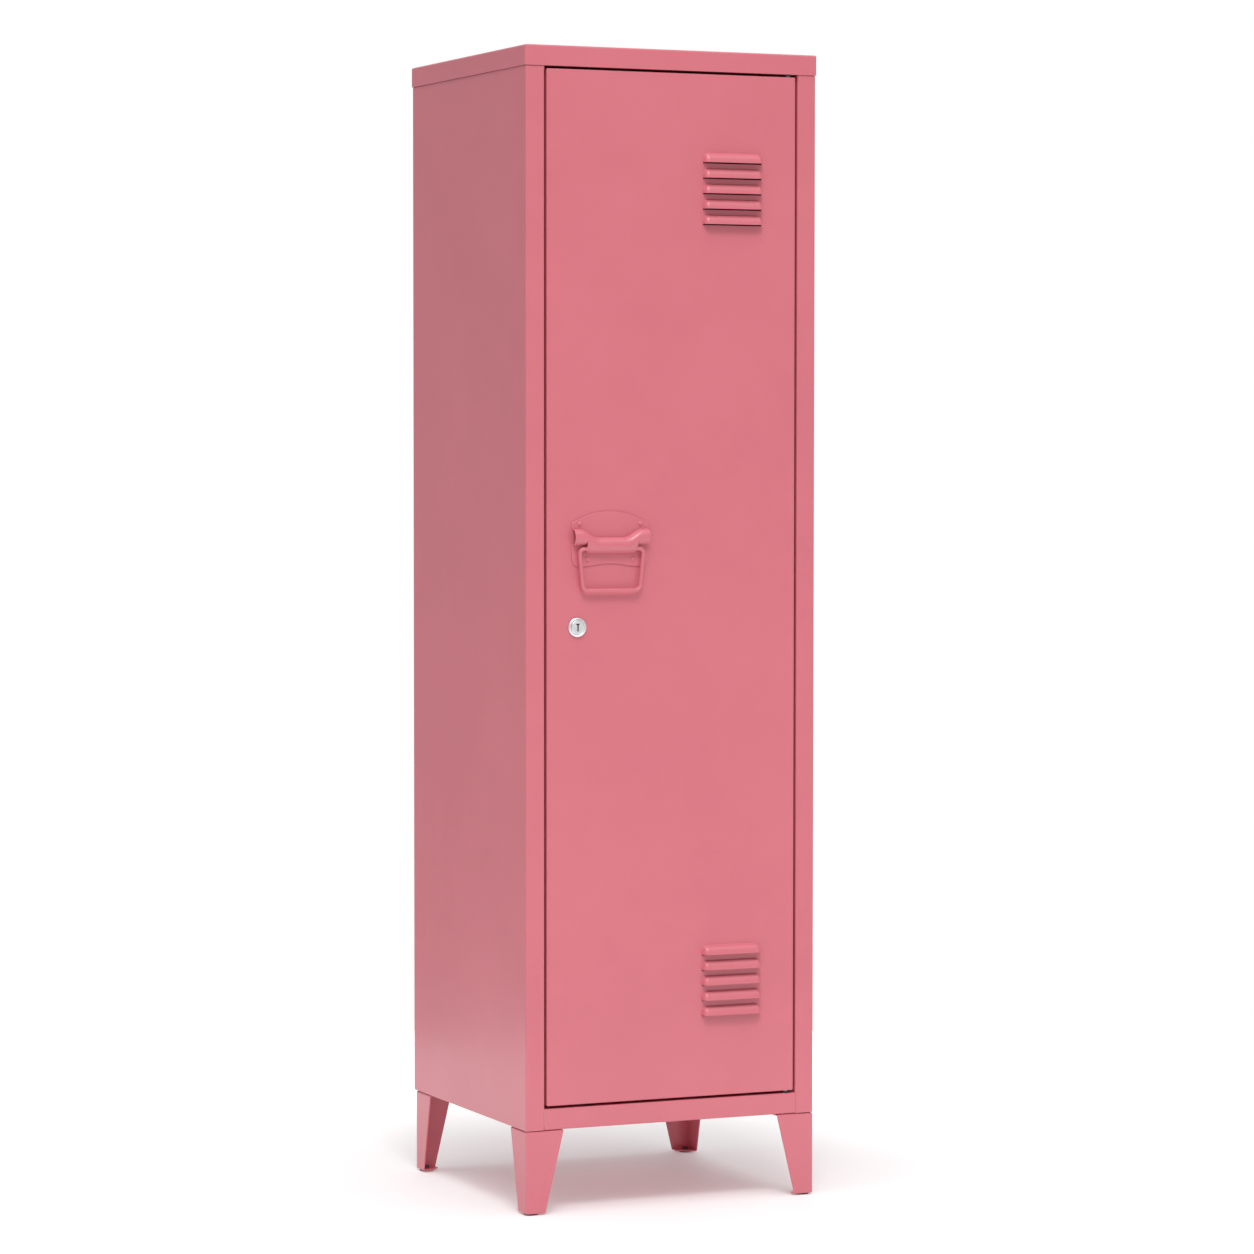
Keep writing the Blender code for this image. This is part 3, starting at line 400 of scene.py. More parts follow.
def thicken(piece, thickness, even=True):
    wall = piece.modifiers.new("thickness", "SOLIDIFY")
    wall.thickness = thickness
    wall.offset = -1
    wall.use_even_offset = even
    return wall


def folded_sheet(name, panels, thickness=SHEET, radius=FOLD_RADIUS, material=None):
    """Folded sheet from flat panels that share edges, with round folds and softened rims."""
    bm = bmesh.new()
    add_panels(bm, panels)
    piece = make_piece(name, bm, material or PAINT)
    soften(piece, radius, FOLD_STEPS)
    thicken(piece, thickness)
    soften(piece, RIM_RADIUS, 2, math.radians(50))
    settle(piece)
    return smooth(piece)


def turned(name, profile, steps, material, place=(0, 0, 0), turn=None, soft=0):
    """Turned piece: (radius, height) points about Z, then turned and put in its place."""
    bm = bmesh.new()
    rings = []
    for radius, height in profile:
        count = steps if radius > 0 else 1
        angles = [2 * math.pi * k / steps for k in range(count)]
        rings.append([bm.verts.new((radius * math.cos(a), radius * math.sin(a), height))
                      for a in angles])
    pairs = list(zip(rings, rings[1:]))
    if profile[0][0] > 0:
        pairs.append((rings[-1], rings[0]))
    for low, high in pairs:
        for k in range(steps):
            corners = (low[k % len(low)], low[(k + 1) % len(low)],
                       high[(k + 1) % len(high)], high[k % len(high)])
            bm.faces.new(list(dict.fromkeys(corners)))
    bmesh.ops.recalc_face_normals(bm, faces=bm.faces)
    matrix = Matrix.Translation(place) @ (turn or Matrix.Identity(4))
    bmesh.ops.transform(bm, verts=bm.verts, matrix=matrix)
    piece = make_piece(name, bm, material)
    if soft:
        soften(piece, soft, 2)
    settle(piece)
    return smooth(piece)


def rotation(degrees, axis):
    return Matrix.Rotation(math.radians(degrees), 4, axis)


def arc(centre, radius, start, end, steps):
    """Points on an ellipse's arc, as (across, up), from one angle in degrees to another."""
    angles = [math.radians(start + (end - start) * step / steps) for step in range(steps + 1)]
    return [(centre[0] + radius[0] * math.cos(a), centre[1] + radius[1] * math.sin(a)) for a in angles]


def extruded(name, outline, y, material):
    """Solid with an outline of (x, z) points, between two planes across Y."""
    bm = bmesh.new()
    face = bm.faces.new([bm.verts.new((across, y[0], up)) for across, up in outline])
    moved = bmesh.ops.extrude_face_region(bm, geom=[face])["geom"]
    for vert in (part for part in moved if isinstance(part, bmesh.types.BMVert)):
        vert.co.y = y[1]
    bmesh.ops.recalc_face_normals(bm, faces=bm.faces)
    return make_piece(name, bm, material)


# ---------------------------------------------------------------- geometry nodes

def node_group(name, sizes):
    """A geometry tree with named size inputs, its graph and those inputs as values."""
    tree = bpy.data.node_groups.new(name, "GeometryNodeTree")
    tree.interface.new_socket("Geometry", in_out="INPUT", socket_type="NodeSocketGeometry")
    tree.interface.new_socket("Geometry", in_out="OUTPUT", socket_type="NodeSocketGeometry")
    for size in sizes:
        kind = "NodeSocketInt" if isinstance(sizes[size], int) else "NodeSocketFloat"
        tree.interface.new_socket(size, in_out="INPUT", socket_type=kind)
    graph = Graph(tree)
    source = graph.add("NodeGroupInput")
    given = {size: Value(graph, source.outputs[size]) for size in sizes}
    return tree, graph, source, given


def spread(graph, source, shape, turn, material):
    """Puts the shape on every point of the object, as real geometry in one material."""
    copies = graph.add("GeometryNodeInstanceOnPoints", None,
                       {"Points": source.outputs["Geometry"], "Instance": shape, "Rotation": turn})
    real = graph.add("GeometryNodeRealizeInstances", None, {"Geometry": copies.outputs["Instances"]})
    painted = graph.add("GeometryNodeSetMaterial", None,
                        {"Geometry": real.outputs[0], "Material": material})
    end = graph.add("NodeGroupOutput")
    graph.feed(end.inputs[0], painted.outputs[0])


def grow(name, points, tree, sizes, material):
    """A piece made by a geometry tree on a set of points, as a plain mesh."""
    bm = bmesh.new()
    for point in points:
        bm.verts.new(point)
    piece = make_piece(name, bm, material)
    modifier = piece.modifiers.new(name, "NODES")
    modifier.node_group = tree
    for item in tree.interface.items_tree:
        if item.in_out == "INPUT" and item.name in sizes:
            modifier[item.identifier] = sizes[item.name]
    return settle(piece)


def bent_grid(graph, columns, rows, x, y, z):
    """A grid whose points are moved to x, y, z, each a function of the grid's two fractions."""
    grid = graph.add("GeometryNodeMeshGrid", None,
                     {"Size X": 1.0, "Size Y": 1.0, "Vertices X": columns, "Vertices Y": rows})
    position = graph.add("GeometryNodeInputPosition").outputs[0]
    place = graph.add("ShaderNodeSeparateXYZ", None, {0: position})
    across = Value(graph, place.outputs[0]) + 0.5
    along = Value(graph, place.outputs[1]) + 0.5
    target = graph.add("ShaderNodeCombineXYZ", None,
                       {0: x(across, along), 1: y(across, along), 2: z(across, along)})
    moved = graph.add("GeometryNodeSetPosition", None,
                      {"Geometry": grid.outputs["Mesh"], "Position": target.outputs[0]})
    merged = graph.add("GeometryNodeMergeByDistance", None,
                       {"Geometry": moved.outputs[0], "Distance": 1e-6})
    return merged.outputs[0]


END_STEPS = 9
DEPTH_STEPS = 18


def louvre_tree(sizes):
    """One pressed hood: rings that run from its foot on the sheet out to its straight lip."""
    tree, graph, source, given = node_group("louvre_hoods", sizes)
    last = 2 * END_STEPS + 1

    def signed_end(across):
        """Side of the hood, -1 or 1, and the angle round its end, from 0 where it is straight."""
        step = across * last - last / 2
        side = step.math("SIGN")
        return side, (step.math("ABSOLUTE") - 0.5) * (math.pi / 2 / END_STEPS)

    def ring(along):
        """Size of a ring: 1 where the hood would leave the sheet if it had no fillet."""
        return (1 - along) * LOUVRE_FOOT

    def x(across, along):
        side, angle = signed_end(across)
        straight = given["Length"] * 0.5 - given["End"]
        return side * (straight + given["End"] * ring(along) * angle.math("SINE"))

    def z(across, along):
        return given["Height"] * ring(along) * signed_end(across)[1].math("COSINE")

    def y(across, along):
        inside = 1 - ring(along) ** 2
        rounded = ((inside + (inside ** 2 + 0.012).math("SQRT")) * 0.5).math("SQRT")
        foot = graph.value("ShaderNodeMapRange", {"interpolation_type": "SMOOTHSTEP"},
                           {"Value": ring(along), "From Min": LOUVRE_FOOT, "From Max": 0.88})
        return -(given["Reach"] * rounded * foot)

    shape = bent_grid(graph, 2 * END_STEPS + 2, DEPTH_STEPS + 1, x, y, z)
    spread(graph, source, shape, (0, 0, 0), PAINT)
    return tree


def dome_tree(name, sizes, turn, material):
    """A low dome on a short collar, for rivet heads and weld marks."""
    tree, graph, source, given = node_group(name, sizes)

    def radius(along):
        return given["Radius"] * (along * 1.16 * math.pi / 2).math("MINIMUM", math.pi / 2).math("SINE")

    def x(across, along):
        return radius(along) * (across * 2 * math.pi).math("COSINE")

    def y(across, along):
        return radius(along) * (across * 2 * math.pi).math("SINE")

    def z(across, along):
        crown = (along * 1.16 * math.pi / 2).math("MINIMUM", math.pi / 2).math("COSINE")
        collar = (along - 0.862).math("MAXIMUM", 0) * (1 / 0.138)
        return given["Height"] * crown - given["Sink"] * collar

    shape = bent_grid(graph, 25, 15, x, y, z)
    spread(graph, source, shape, turn, material)
    return tree


# ---------------------------------------------------------------- carcass

def tray_panels(low, high):
    """Flat sheet with a lip turned down along each of its four sides."""
    x, y, z = ((low[axis], high[axis]) for axis in range(3))
    return [
        (flat(x, y, z[1]), (0, 0, 1)),
        (flat(x, y[0], z), (0, -1, 0)),
        (flat(x, y[1], z), (0, 1, 0)),
        (flat(x[0], y, z), (-1, 0, 0)),
        (flat(x[1], y, z), (1, 0, 0)),
    ]


def make_cap():
    cap = folded_sheet("cap_shell", tray_panels(CAP_LOW, CAP_HIGH), radius=CAP_FOLD_RADIUS)
    finish_piece(cap, "carcass", "pink_powder_coat", "top_cap")


def make_side(hand, side):
    """Side wall, stile and rear flange folded from one sheet, stepped in where the cap covers it."""
    outer = side * HALF_WIDTH
    opening = side * OPENING_HALF
    flange = outer - side * REAR_FLANGE
    shoulder = CAP_LOW.z - SEAM
    z = (BODY_LOW.z, shoulder)
    panels = [
        (flat(opening, (FRONT, FRONT + STILE_RETURN), z), (-side, 0, 0)),
        (flat((opening, outer), FRONT, z), (0, -1, 0)),
        (flat(outer, (FRONT, BACK), z), (side, 0, 0)),
        (flat((outer, flange), BACK, z), (0, 1, 0)),
    ]
    nodes = [f"{hand}_{part}" for part in ("side_panel", "stile", "rear_strip")]
    finish_piece(folded_sheet(f"side_shell_{hand}", panels), "carcass", "pink_powder_coat", *nodes)
    neck_outer = outer - side * NECK_STEP
    z = (shoulder - 4 * MM, BODY_HIGH.z)
    neck = [
        (flat((opening, neck_outer), FRONT + NECK_STEP, z), (0, -1, 0)),
        (flat(neck_outer, (FRONT + NECK_STEP, BACK - NECK_STEP), z), (side, 0, 0)),
        (flat((neck_outer, flange), BACK - NECK_STEP, z), (0, 1, 0)),
    ]
    finish_piece(folded_sheet(f"side_neck_{hand}", neck), "carcass", "pink_powder_coat")


def make_base_pan():
    narrow = OPENING_HALF + 0.3 * MM
    wide = PAN_HIGH.x
    sides = (PAN_NOTCH + PAN_RELIEF, PAN_HIGH.y - PAN_RELIEF)
    right = [(narrow, FRONT), (narrow, PAN_NOTCH), (wide, PAN_NOTCH), (wide, sides[0]),
             (wide, sides[1]), (wide, PAN_HIGH.y)]
    left = [(-x, y) for x, y in reversed(right)]
    rise = (PAN_LOW.z, PAN_HIGH.z)
    panels = [
        ([(x, y, PAN_HIGH.z) for x, y in right + left], (0, 0, 1)),
        (flat((-narrow, narrow), FRONT, rise), (0, -1, 0)),
        (flat((-narrow, narrow), (FRONT, FRONT + PAN_LEDGE), PAN_LOW.z), (0, 0, -1)),
        (flat((-wide, wide), PAN_HIGH.y, rise), (0, 1, 0)),
        (flat((-wide, wide), (PAN_HIGH.y - PAN_LEDGE, PAN_HIGH.y), PAN_LOW.z), (0, 0, -1)),
    ]
    for side in (-1, 1):
        panels.append((flat(side * wide, sides, (PAN_HIGH.z - PAN_SIDE_DROP, PAN_HIGH.z)), (side, 0, 0)))
    finish_piece(folded_sheet("floor_pan", panels), "carcass", "pink_powder_coat", "base_pan")


def make_shelf(label):
    tray = folded_sheet(f"{label}_tray", tray_panels(*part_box(label)))
    finish_piece(tray, "carcass", "pink_powder_coat", label)


def make_coat_rail():
    low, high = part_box("coat_rail")
    centre = (low + high) / 2
    half, radius = (high.x - low.x) / 2, (high.z - low.z) / 2
    bore = radius - 1.2 * MM
    profile = [(radius, -half), (radius, half), (bore, half), (bore, -half)]
    rail = turned("coat_rail_tube", profile, 64, CHROME, centre, rotation(90, "Y"), 0.3 * MM)
    finish_piece(rail, "carcass", "bright_chrome", "coat_rail")
    for hand, side in (("left", -1), ("right", 1)):
        node = f"coat_rail_socket_{hand}"
        low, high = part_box(node)
        wall = high.x if side > 0 else low.x
        cup, base, length = radius + 0.4 * MM, 2.6 * MM, high.x - low.x
        profile = [(0, 0), (17 * MM, 0), (17 * MM, base), (cup + 2.4 * MM, base + 1 * MM),
                   (cup + 2.4 * MM, length), (cup, length), (cup, base), (0, base)]
        place = (wall, centre.y, centre.z)
        socket = turned(f"{node}_cup", profile, 64, CHROME, place, rotation(-90 * side, "Y"), 0.4 * MM)
        finish_piece(socket, "carcass", "bright_chrome", node)


def leg_corner(end, hand):
    """Outer corner of a leg and the ways that lead inwards from it along X and Y."""
    low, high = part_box(f"leg_{end}_{hand}")
    side = -1 if hand == "left" else 1
    corner_y = low.y if end == "front" else high.y
    return Vector((side * HALF_WIDTH, corner_y, 0)), -side, (1 if end == "front" else -1), low.z, high.z


def make_leg(end, hand):
    corner, in_x, in_y, foot_z, head_z = leg_corner(end, hand)

    def point(across, along, height):
        return (corner.x + in_x * across, corner.y + in_y * along, height)

    def plate(width, height):
        cut = width * 0.45
        plan = [(0, 0), (width, 0), (width, cut), (cut, width), (0, width)]
        return [point(across, along, height) for across, along in plan]

    foot, head = LEG_FOOT_WIDTH, LEG_TOP_WIDTH
    panels = [
        ([point(0, 0, foot_z), point(foot, 0, foot_z), point(head, 0, head_z), point(0, 0, head_z)],
         (0, -in_y, 0)),
        ([point(0, 0, foot_z), point(0, foot, foot_z), point(0, head, head_z), point(0, 0, head_z)],
         (-in_x, 0, 0)),
        (plate(head, head_z), (0, 0, 1)),
        (plate(foot, foot_z), (0, 0, -1)),
    ]
    leg = folded_sheet(f"pressed_leg_{end}_{hand}", panels, LEG_SHEET, FOLD_RADIUS)
    finish_piece(leg, "carcass", "pink_powder_coat", f"leg_{end}_{hand}")
    glide_node = f"foot_glide_{end}_{hand}"
    low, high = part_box(glide_node)
    centre = Vector(((low.x + high.x) / 2, (low.y + high.y) / 2, 0))
    profile = [(0, 0), (7.4 * MM, 0), (8.2 * MM, 0.25 * MM), (8.6 * MM, 0.8 * MM), (8.6 * MM, 1.5 * MM),
               (2.9 * MM, 1.5 * MM), (2.9 * MM, 3.6 * MM), (4.2 * MM, 3.6 * MM), (2.4 * MM, 6.6 * MM),
               (0, 6.6 * MM)]
    glide = turned(f"glide_pad_{end}_{hand}", profile, 40, NYLON, centre)
    finish_piece(glide, "carcass", "black_nylon", glide_node)


def make_leg_screws():
    nodes = sorted(name for name in frame["nodes"] if name.startswith("leg_screw"))
    points = []
    for name in nodes:
        low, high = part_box(name)
        points.append(((low.x + high.x) / 2, (low.y + high.y) / 2, low.z + 1.9 * MM))
    sizes = {"Radius": 3.8 * MM, "Height": 1.9 * MM, "Sink": 1.2 * MM}
    tree = dome_tree("screw_heads", sizes, (math.pi, 0, 0), ZINC)
    piece = grow("leg_screw_heads", points, tree, sizes, ZINC)
    finish_piece(smooth(piece), "carcass", "zinc_plate", *nodes)


def make_weld_marks():
    """Spot-weld marks down both rear flanges."""
    rows = 13
    pitch = (BODY_HIGH.z - BODY_LOW.z - 80 * MM) / (rows - 1)
    points = []
    for side in (-1, 1):
        for row in range(rows):
            across = side * (HALF_WIDTH - REAR_FLANGE / 2)
            points.append((across, BACK - 0.02 * MM, BODY_LOW.z + 40 * MM + row * pitch))
    sizes = {"Radius": 2.6 * MM, "Height": 0.22 * MM, "Sink": 0.1 * MM}
    tree = dome_tree("weld_marks", sizes, (-math.pi / 2, 0, 0), PAINT)
    marks = smooth(grow("rear_weld_marks", points, tree, sizes, PAINT))
    finish_piece(marks, "carcass", "pink_powder_coat")


# ---------------------------------------------------------------- door

def circle_loop(bm, centre, radius, steps):
    verts = [bm.verts.new((centre[0] + radius * math.cos(2 * math.pi * k / steps), FRONT,
                           centre[1] + radius * math.sin(2 * math.pi * k / steps))) for k in range(steps)]
    return [bm.edges.new((verts[k], verts[(k + 1) % steps])) for k in range(steps)]


def louvre_points():
    return [(LOUVRE_X, FRONT, top - row * LOUVRE_PITCH)
            for top in LOUVRE_GROUPS for row in range(LOUVRE_ROWS)]


def add_louvres(bm):
    """Adds the pressed hoods and returns the loops that bound their slots in the flat sheet."""
    sizes = {"Length": LOUVRE_LENGTH, "Height": LOUVRE_HEIGHT, "Reach": LOUVRE_REACH, "End": LOUVRE_END}
    hoods = grow("louvre_hoods", louvre_points(), louvre_tree(sizes), sizes, PAINT)
    bm.from_mesh(hoods.data)
    bpy.data.objects.remove(hoods)
    bmesh.ops.remove_doubles(bm, verts=bm.verts, dist=1e-6)
    loops = [e for e in bm.edges if e.is_boundary and all(abs(v.co.y - FRONT) < 1e-6 for v in e.verts)]
    for _, _, lip in louvre_points():
        ends = [v for v in bm.verts if abs(v.co.z - lip) < 1e-6 and abs(v.co.y - FRONT) < 1e-6]
        below = [bm.verts.new((end.co.x, FRONT, lip - LOUVRE_SLOT)) for end in ends]
        loops += [bm.edges.new(pair) for pair in (*zip(ends, below), below)]
    return loops


def make_door():
    half = DOOR_HIGH.x
    x = (-half, half)
    z = (DOOR_LOW.z, DOOR_HIGH.z)
    rear = FRONT + DOOR_DEPTH
    inner_x = half - DOOR_LIP
    inner_z = (z[0] + DOOR_LIP, z[1] - DOOR_LIP)
    bm = bmesh.new()
    edges = add_louvres(bm)
    corners = [bm.verts.new(corner) for corner in flat(x, FRONT, z)]
    edges += [bm.edges.new((corners[k], corners[(k + 1) % 4])) for k in range(4)]
    edges += circle_loop(bm, (LOCK_X, LOCK_Z), LOCK_HOLE, 40)
    made = bmesh.ops.triangle_fill(bm, use_beauty=True, edges=edges, normal=(0, -1, 0))
    for face in (part for part in made["geom"] if isinstance(part, bmesh.types.BMFace)):
        face.normal_update()
        if face.normal.y > 0:
            face.normal_flip()
    panels = []
    for side in (-1, 1):
        edge = side * half
        lip = [(edge, rear, z[0]), (edge, rear, z[1]), (side * inner_x, rear, inner_z[1]),
               (side * inner_x, rear, inner_z[0])]
        panels += [(flat(edge, (FRONT, rear), z), (side, 0, 0)), (lip, (0, 1, 0))]
    for edge, inner, facing in ((z[0], inner_z[0], -1), (z[1], inner_z[1], 1)):
        lip = [(-half, rear, edge), (half, rear, edge), (inner_x, rear, inner), (-inner_x, rear, inner)]
        panels += [(flat(x, (FRONT, rear), edge), (0, 0, facing)), (lip, (0, 1, 0))]
    add_panels(bm, panels)
    weight = bm.edges.layers.float.new("bevel_weight_edge")

    def on_rim(vert):
        return min(abs(abs(vert.co.x) - half), abs(vert.co.z - z[0]), abs(vert.co.z - z[1])) < 1e-6

    for edge in bm.edges:
        folded = len(edge.link_faces) == 2 and edge.calc_face_angle() > math.radians(80)
        edge[weight] = 1.0 if folded and all(on_rim(vert) for vert in edge.verts) else 0.0
    door = make_piece("door_shell", bm, PAINT)
    folds = soften(door, 1.8 * MM, FOLD_STEPS)
    folds.limit_method = "WEIGHT"
    thicken(door, SHEET, even=False)
    settle(door)
    finish_piece(smooth(door), "door", "pink_powder_coat", "door_panel")


def make_stiffener():
    low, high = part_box("door_stiffener")
    z = (low.z, high.z)
    half = 12 * MM
    panels = [(flat((-half, half), high.y, z), (0, 1, 0))]
    for side in (-1, 1):
        base = low.y + SHEET
        panels.append((flat(side * half, (base, high.y), z), (side, 0, 0)))
        panels.append((flat((side * half, side * high.x), base, z), (0, 1, 0)))
    piece = folded_sheet("door_hat_channel", panels, radius=1.6 * MM)
    finish_piece(piece, "door", "pink_powder_coat", "door_stiffener")


# ---------------------------------------------------------------- pull handle

def make_handle_plate():
    """Thin plate with an arched top and two lobes along its lower edge."""
    half = (PLATE_HIGH.x - PLATE_LOW.x) / 2
    apex, lobe_z = PLATE_HIGH.z, PLATE_LOW.z
    shoulder, side_bottom, waist = 816 * MM, 772 * MM, 766.2 * MM
    arch_half = half - 4 * MM
    rise = apex - shoulder
    arch_radius = (arch_half ** 2 + rise ** 2) / (2 * rise)
    arch_angle = math.degrees(math.asin(arch_half / arch_radius))
    corner = (4 * MM, 4 * MM)
    lobe = (10 * MM, side_bottom - lobe_z)
    wave_half = half - lobe[0]
    outline = arc((HANDLE_X, apex - arch_radius), (arch_radius, arch_radius),
                  90 - arch_angle, 90 + arch_angle, 40)
    outline += arc((HANDLE_X - arch_half, shoulder - corner[1]), corner, 110, 180, 8)
    outline += arc((HANDLE_X - wave_half, side_bottom), lobe, 180, 270, 12)
    for step in range(1, 40):
        across = -1 + step / 20
        outline.append((HANDLE_X + wave_half * across,
                        lobe_z + (waist - lobe_z) * (0.5 + 0.5 * math.cos(math.pi * across))))
    outline += arc((HANDLE_X + wave_half, side_bottom), lobe, 270, 360, 12)
    outline += arc((HANDLE_X + arch_half, shoulder - corner[1]), corner, 0, 70, 8)
    plate = extruded("pull_plate", outline, (PLATE_LOW.y, PLATE_HIGH.y), PAINT)
    soften(plate, 0.8 * MM, 4, math.radians(60))
    settle(plate)
    finish_piece(smooth(plate), "door", "pink_powder_coat", "handle_plate")


def blend_step(value, low, high):
    """0 below low, 1 above high and an S-curve between."""
    t = max(0.0, min(1.0, (value - low) / (high - low)))
    return t * t * (3 - 2 * t)


def make_handle_bridge():
    """Half-round strap stepped up into two open wings; its lower half is cut where the bail enters."""
    half = (BRIDGE_HIGH.x - BRIDGE_LOW.x) / 2
    back = BRIDGE_HIGH.y - 0.05 * MM
    reach = back - BRIDGE_LOW.y - 0.08 * MM
    cut = NOTCH_HALF
    stations = [0, 8, 15, 17, 19, 21, 23, 25, 27, 29.1, 30.4, 31.4, 32.1, 32.6, 34, 35.5, 37, 38.5,
                40, 44, half / MM]
    stations = [-s * MM for s in reversed(stations[1:])] + [s * MM for s in stations]

    def crest(x):
        rise = blend_step(abs(x), *WING_RISE)
        return BRIDGE_MIDDLE + rise * 9.7 * MM, BRIDGE_CREST + rise * 9.8 * MM

    def low_edge(x):
        """Lower edge between the notches, rounded up into each notch."""
        into = min(1.0, max(0.0, (abs(x) - cut + NOTCH_CORNER) / NOTCH_CORNER))
        return BRIDGE_LOW_EDGE + NOTCH_CORNER * (1 - math.sqrt(1 - into ** 2))

    def half_arc(x, edge):
        middle = crest(x)[0]
        points = arc((0, 0), (reach, edge - middle), 0, 90, 8)
        return [(HANDLE_X + x, back - across, middle + up) for across, up in points]

    bm = bmesh.new()

    def skin(xs, edge_of):
        rows = [[bm.verts.new(p) for p in half_arc(x, edge_of(x))] for x in xs]
        for low, high in zip(rows, rows[1:]):
            for k in range(len(low) - 1):
                bm.faces.new((low[k], high[k], high[k + 1], low[k + 1]))

    skin(stations, lambda x: crest(x)[1])
    skin([x for x in stations if abs(x) <= cut + 1e-6], low_edge)
    skin([x for x in stations if x >= cut - 1e-6], lambda x: BRIDGE_MIDDLE)
    skin([x for x in stations if x <= -cut + 1e-6], lambda x: BRIDGE_MIDDLE)
    bmesh.ops.remove_doubles(bm, verts=bm.verts, dist=1e-6)
    bmesh.ops.recalc_face_normals(bm, faces=bm.faces)
    outward = sum((face.normal.y * face.calc_area() for face in bm.faces))
    if outward > 0:
        bmesh.ops.reverse_faces(bm, faces=bm.faces)
    bridge = make_piece("pull_bridge", bm, PAINT)
    thicken(bridge, BRIDGE_SHEET, even=False)
    soften(bridge, 0.3 * MM, 2, math.radians(60))
    settle(bridge)
    finish_piece(smooth(bridge), "door", "pink_powder_coat", "handle_bridge")


def make_rivets():
    points = []
    nodes = []
    for row, (across, up) in zip(("upper", "lower"), RIVETS):
        for side, hand in ((-1, "left"), (1, "right")):
            points.append((HANDLE_X + side * across, PLATE_LOW.y, up))
            nodes.append(f"handle_rivet_{row}_{hand}")
    sizes = {"Radius": 2.9 * MM, "Height": 1.7 * MM, "Sink": 0.3 * MM}
    tree = dome_tree("rivet_heads", sizes, (math.pi / 2, 0, 0), PAINT)
    heads = smooth(grow("pull_rivet_heads", points, tree, sizes, PAINT))
    finish_piece(heads, "door", "pink_powder_coat", *nodes)
    tails = [(x, FRONT + SHEET, z) for x, _, z in points]
    sizes = {"Radius": 2.8 * MM, "Height": 0.9 * MM, "Sink": 0.2 * MM}
    tree = dome_tree("rivet_tails", sizes, (-math.pi / 2, 0, 0), PAINT)
    finish_piece(smooth(grow("pull_rivet_tails", tails, tree, sizes, PAINT)), "door", "pink_powder_coat")


def rounded_path(corners, radii, steps):
    """Path through corners, each rounded by an arc of its own radius."""
    path = [corners[0]]
    for before, corner, after, radius in zip(corners, corners[1:], corners[2:], radii):
        into, away = (corner - before).normalized(), (after - corner).normalized()
        turn = into.angle(away)
        reach = radius * math.tan(turn / 2)
        centre = corner + (away - into).normalized() * radius / math.cos(turn / 2)
        axis = into.cross(away).normalized()
        spoke = corner - into * reach - centre
        path += [centre + Matrix.Rotation(turn * step / steps, 3, axis) @ spoke
                 for step in range(steps + 1)]
    path.append(corners[-1])
    return path


def make_bail():
    half = [(BAIL_STUB, *BAIL_AXIS), (BAIL_TOP_HALF, *BAIL_AXIS), (BAIL_BAR_HALF, *BAIL_BAR)]
    corners = [Vector((HANDLE_X - x, y, z)) for x, y, z in half]
    corners += [Vector((HANDLE_X + x, y, z)) for x, y, z in reversed(half)]
    path = rounded_path(corners, BAIL_BENDS, 14)
    curve = bpy.data.curves.new("bail_wire", "CURVE")
    curve.dimensions = "3D"
    curve.bevel_depth = WIRE_RADIUS
    curve.bevel_resolution = 8
    curve.use_fill_caps = True
    spline = curve.splines.new("POLY")
    spline.points.add(len(path) - 1)
    for point, place in zip(spline.points, path):
        point.co = (*place, 1)
    wire = bpy.data.objects.new("bail_wire_curve", curve)
    bpy.context.scene.collection.objects.link(wire)
    bpy.context.view_layer.update()
    graph = bpy.context.evaluated_depsgraph_get()
    mesh = bpy.data.meshes.new_from_object(wire.evaluated_get(graph), depsgraph=graph)
    bpy.data.objects.remove(wire)
    mesh.materials.clear()
    mesh.materials.append(PAINT)
    bail = bpy.data.objects.new("bail_wire", mesh)
    bpy.context.scene.collection.objects.link(bail)
    finish_piece(smooth(bail), "bail", "pink_powder_coat", "handle_bail")


# ---------------------------------------------------------------- cam lock

def carve(piece, tool):
    cut = piece.modifiers.new("cut", "BOOLEAN")
    cut.operation = "DIFFERENCE"
    cut.object = tool
    settle(piece)
    bpy.data.objects.remove(tool)


